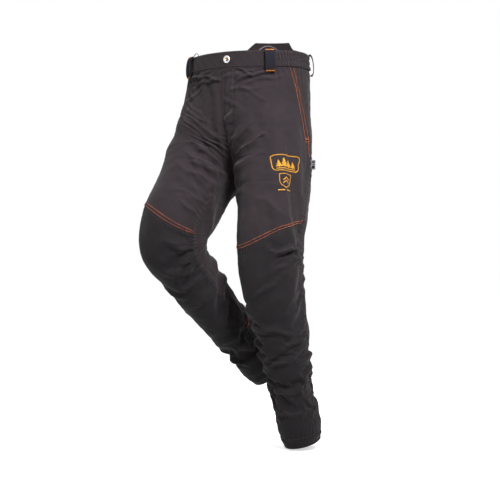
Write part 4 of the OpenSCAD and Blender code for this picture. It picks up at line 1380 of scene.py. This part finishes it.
BADGE, SHIELD = (109, 46, -0.383, -0.112), (163, 50, -0.29, -0.168)
marks = Solid()
corner = np.array([(0.02 + 0.13 * (1 - math.cos(q)), 0.02 + 0.24 * (1 - math.sin(q)))
                   for q in np.linspace(0, math.pi / 2, 6)])
frame_line = np.concatenate([corner, [(1 - a, b) for a, b in corner[::-1]],
                             [(1 - a, 1 - b) for a, b in corner],
                             [(a, 1 - b) for a, b in corner[::-1]]])
print_line(marks, frame_line, BADGE, width=2.2, closed=True)
for x, size in ((0.24, 0.78), (0.42, 1.0), (0.6, 0.82), (0.77, 0.66)):
    foot = 0.8
    for tier in range(3):
        tip, low = foot - size * (0.56 - 0.15 * tier), foot - size * (0.56 - 0.15 * (tier + 1.25))
        for j in range(4):
            w = (0.022 + 0.018 * tier) * size * (j + 0.6) * 0.62
            y = tip + (low - tip) * (j + 0.5) / 4
            print_line(marks, [(x - w, y), (x + w, y)], BADGE, 2.6)
    print_line(marks, [(x, foot - 0.1), (x, foot + 0.02)], BADGE, 2.2)
print_line(marks, [(0.14, 0.86), (0.86, 0.86)], BADGE, 2.4)
outline = [(0.02, 0.03), (0.5, 0.0), (0.98, 0.03), (0.98, 0.45), (0.86, 0.64), (0.5, 0.8), (0.14, 0.64),
           (0.02, 0.45)]
print_line(marks, outline, SHIELD, width=1.9, closed=True)
for y in (0.2, 0.38):
    print_line(marks, [(0.25, y + 0.16), (0.5, y), (0.75, y + 0.16)], SHIELD, 2.6)
for x0, x1 in ((-0.12, 0.4), (0.58, 1.05)):
    print_line(marks, [(x0, 0.93), (x1, 0.93)], SHIELD, 3.0)
obj = finish_piece(marks.object("thigh_print"), "print_yellow", nodes=["thigh_badge", "shield_badge"])
to_hips(obj, 0)

lo, hi = (np.array(v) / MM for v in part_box("side_label"))
p, n = on(0, 97.0, OUTSEAM)
out = unit(n * [1, 1, 0])
tangent = np.cross([0, 0, 1], out)
u = np.linspace(-2.0, 12.4, 18)
gu, gz = np.meshgrid(u, np.linspace(12.5, -12.5, 26))
curve = 0.9 * np.sin(gu / 7) + 0.5 * np.sin(gz / 6)
face = p + gu[..., None] * out + gz[..., None] * np.array([0, 0, 1.0]) + curve[..., None] * tangent
half = (0.75 * np.sqrt(np.clip(1 - (gu / 12.9) ** 6, 0.02, 1)))[..., None] * tangent
tab = finish_piece(shell("side_tab", face + half, face - half), "label", nodes=["side_label"])
to_hips(tab, 0)
bars = Solid()
for z0, z1 in ((9.5, 5.5), (2.5, 0.5), (-2.5, -9.5)):
    gu, gz = np.meshgrid(np.linspace(2.0, 10.5, 10), np.linspace(z0, z1, 8))
    curve = 0.9 * np.sin(gu / 7) + 0.5 * np.sin(gz / 6)
    mid_face = p + gu[..., None] * out + gz[..., None] * np.array([0, 0, 1.0]) + curve[..., None] * tangent
    for sign in (-1, 1):
        m = mid_face.reshape(-1, 3) + sign * tangent * 0.85
        low_m = mid_face.reshape(-1, 3) + sign * tangent * 0.5
        a = np.arange(80).reshape(8, 10)
        q = np.stack([a[:-1, :-1], a[:-1, 1:], a[1:, 1:], a[1:, :-1]], -1).reshape(-1, 4)
        ring = list(a[0, :-1]) + list(a[:-1, -1]) + list(a[-1, :0:-1]) + list(a[:0:-1, 0])
        rim = [[ring[i - 1], ring[i - 1] + 80, ring[i] + 80, ring[i]] for i in range(len(ring))]
        faces = q.tolist() + (q[:, ::-1] + 80).tolist() + rim
        bars.add(np.concatenate([m, low_m]), [f if sign > 0 else f[::-1] for f in faces])
to_hips(thread_piece(bars, "side_tab_bars", "black"), 0)

thread_piece(waist_grey, "waist_stitches", "grey_thread", "hips")
thread_piece(waist_orange, "loop_bartacks", "bright", "hips")
for k, side in enumerate(SIDES):
    if hip_orange[k].count:
        to_hips(thread_piece(hip_orange[k], f"hip_orange_stitches_{side}", "orange"), k)
    to_hips(thread_piece(hip_grey[k], f"hip_grey_stitches_{side}", "grey_thread"), k)
    to_knee(thread_piece(leg_orange[k], f"knee_orange_stitches_{side}", "orange"), k)
    to_knee(thread_piece(leg_grey[k], f"leg_grey_stitches_{side}", "grey_thread"), k)

for name, material in (("button_tack", "button_metal"), ("fly_zip_teeth", "zip_metal"),
                       ("fly_zip_slider", "zip_metal"),
                       ("fly_zip_puller", "zip_metal")):
    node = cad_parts[name]
    for i in range(len(node.material_slots)):
        node.material_slots[i].material = MATS[material]

# ---------------------------------------------------------------- floor, light and camera
scene = bpy.context.scene
floor_z = cad_box[0][2] - 0.004
corners = [(x, y, floor_z) for x, y in ((-9, -9), (9, -9), (9, 9), (-9, 9))]
floor = mesh_object("floor", corners, [(0, 1, 2, 3)])
n = Nodes("floor_paint")
noise = n.add("ShaderNodeTexNoise", Scale=3.0)
n.link(n.ramp(noise.outputs["Fac"], 0.3, 0.7, (0.93, 0.93, 0.93, 1), (0.96, 0.96, 0.96, 1)),
       n.shader.inputs["Base Color"])
n.shader.inputs["Roughness"].default_value = 0.9
n.shader.inputs["Emission Color"].default_value = (1, 1, 1, 1)
n.shader.inputs["Emission Strength"].default_value = 0.6
floor.data.materials.append(n.mat)

world = bpy.data.worlds.new("studio")
scene.world = world
world.use_nodes = True
tree = world.node_tree
sky = tree.nodes.new("ShaderNodeTexCoord").outputs["Generated"]
split = tree.nodes.new("ShaderNodeSeparateXYZ")
tree.links.new(sky, split.inputs[0])
height = tree.nodes.new("ShaderNodeMapRange")
height.inputs["From Min"].default_value = -1.0
tree.links.new(split.outputs[2], height.inputs["Value"])
dome = tree.nodes.new("ShaderNodeValToRGB")
stops = dome.color_ramp.elements
stops[0].color, stops[1].color = (0.0, 0.0, 0.0, 1), (0.8, 0.8, 0.8, 1)
stops.new(0.5).color = (0.05, 0.05, 0.05, 1)
tree.links.new(height.outputs[0], dome.inputs["Fac"])
seen = tree.nodes.new("ShaderNodeLightPath")
both = tree.nodes.new("ShaderNodeMix")
both.data_type = "RGBA"
tree.links.new(seen.outputs["Is Camera Ray"], both.inputs[0])
tree.links.new(dome.outputs[0], both.inputs[6])
both.inputs[7].default_value = (1, 1, 1, 1)
tree.links.new(both.outputs[2], tree.nodes["Background"].inputs["Color"])
scene.view_settings.view_transform = "Standard"
floor.visible_diffuse = False


def area_light(name, place, aim, size, watts, spread):
    light = bpy.data.lights.new(name, "AREA")
    light.shape, light.size, light.energy, light.spread = "DISK", size, watts, math.radians(spread)
    obj = bpy.data.objects.new(name, light)
    obj.location = place
    d = np.array(aim) - np.array(place)
    obj.rotation_euler = (math.atan2(math.hypot(d[0], d[1]), -d[2]), 0, math.atan2(d[1], d[0]) - math.pi / 2)
    scene.collection.objects.link(obj)


area_light("key", (1.7, -1.4, 1.5), (0.1, 0, -0.3), 0.9, 4.9, 36)
area_light("fill", (-1.2, -2.0, 1.4), (0, 0, -0.12), 0.9, 1.2, 60)
area_light("back", (-1.2, 1.7, 1.4), (0, 0, -0.3), 1.2, 6, 90)

AZIMUTH, DISTANCE = math.radians(29), 2.9
camera = bpy.data.cameras.new("camera")
camera.lens, camera.sensor_width = 77.3, 36
cam = bpy.data.objects.new("camera", camera)
right = np.array([math.cos(AZIMUTH), math.sin(AZIMUTH), 0])
ahead = np.array([-math.sin(AZIMUTH), math.cos(AZIMUTH), 0])
cam.location = np.array([0, 0, -0.513]) + 0.004 * right - DISTANCE * ahead
cam.rotation_euler = (math.pi / 2, 0, AZIMUTH)
scene.collection.objects.link(cam)
scene.camera = cam
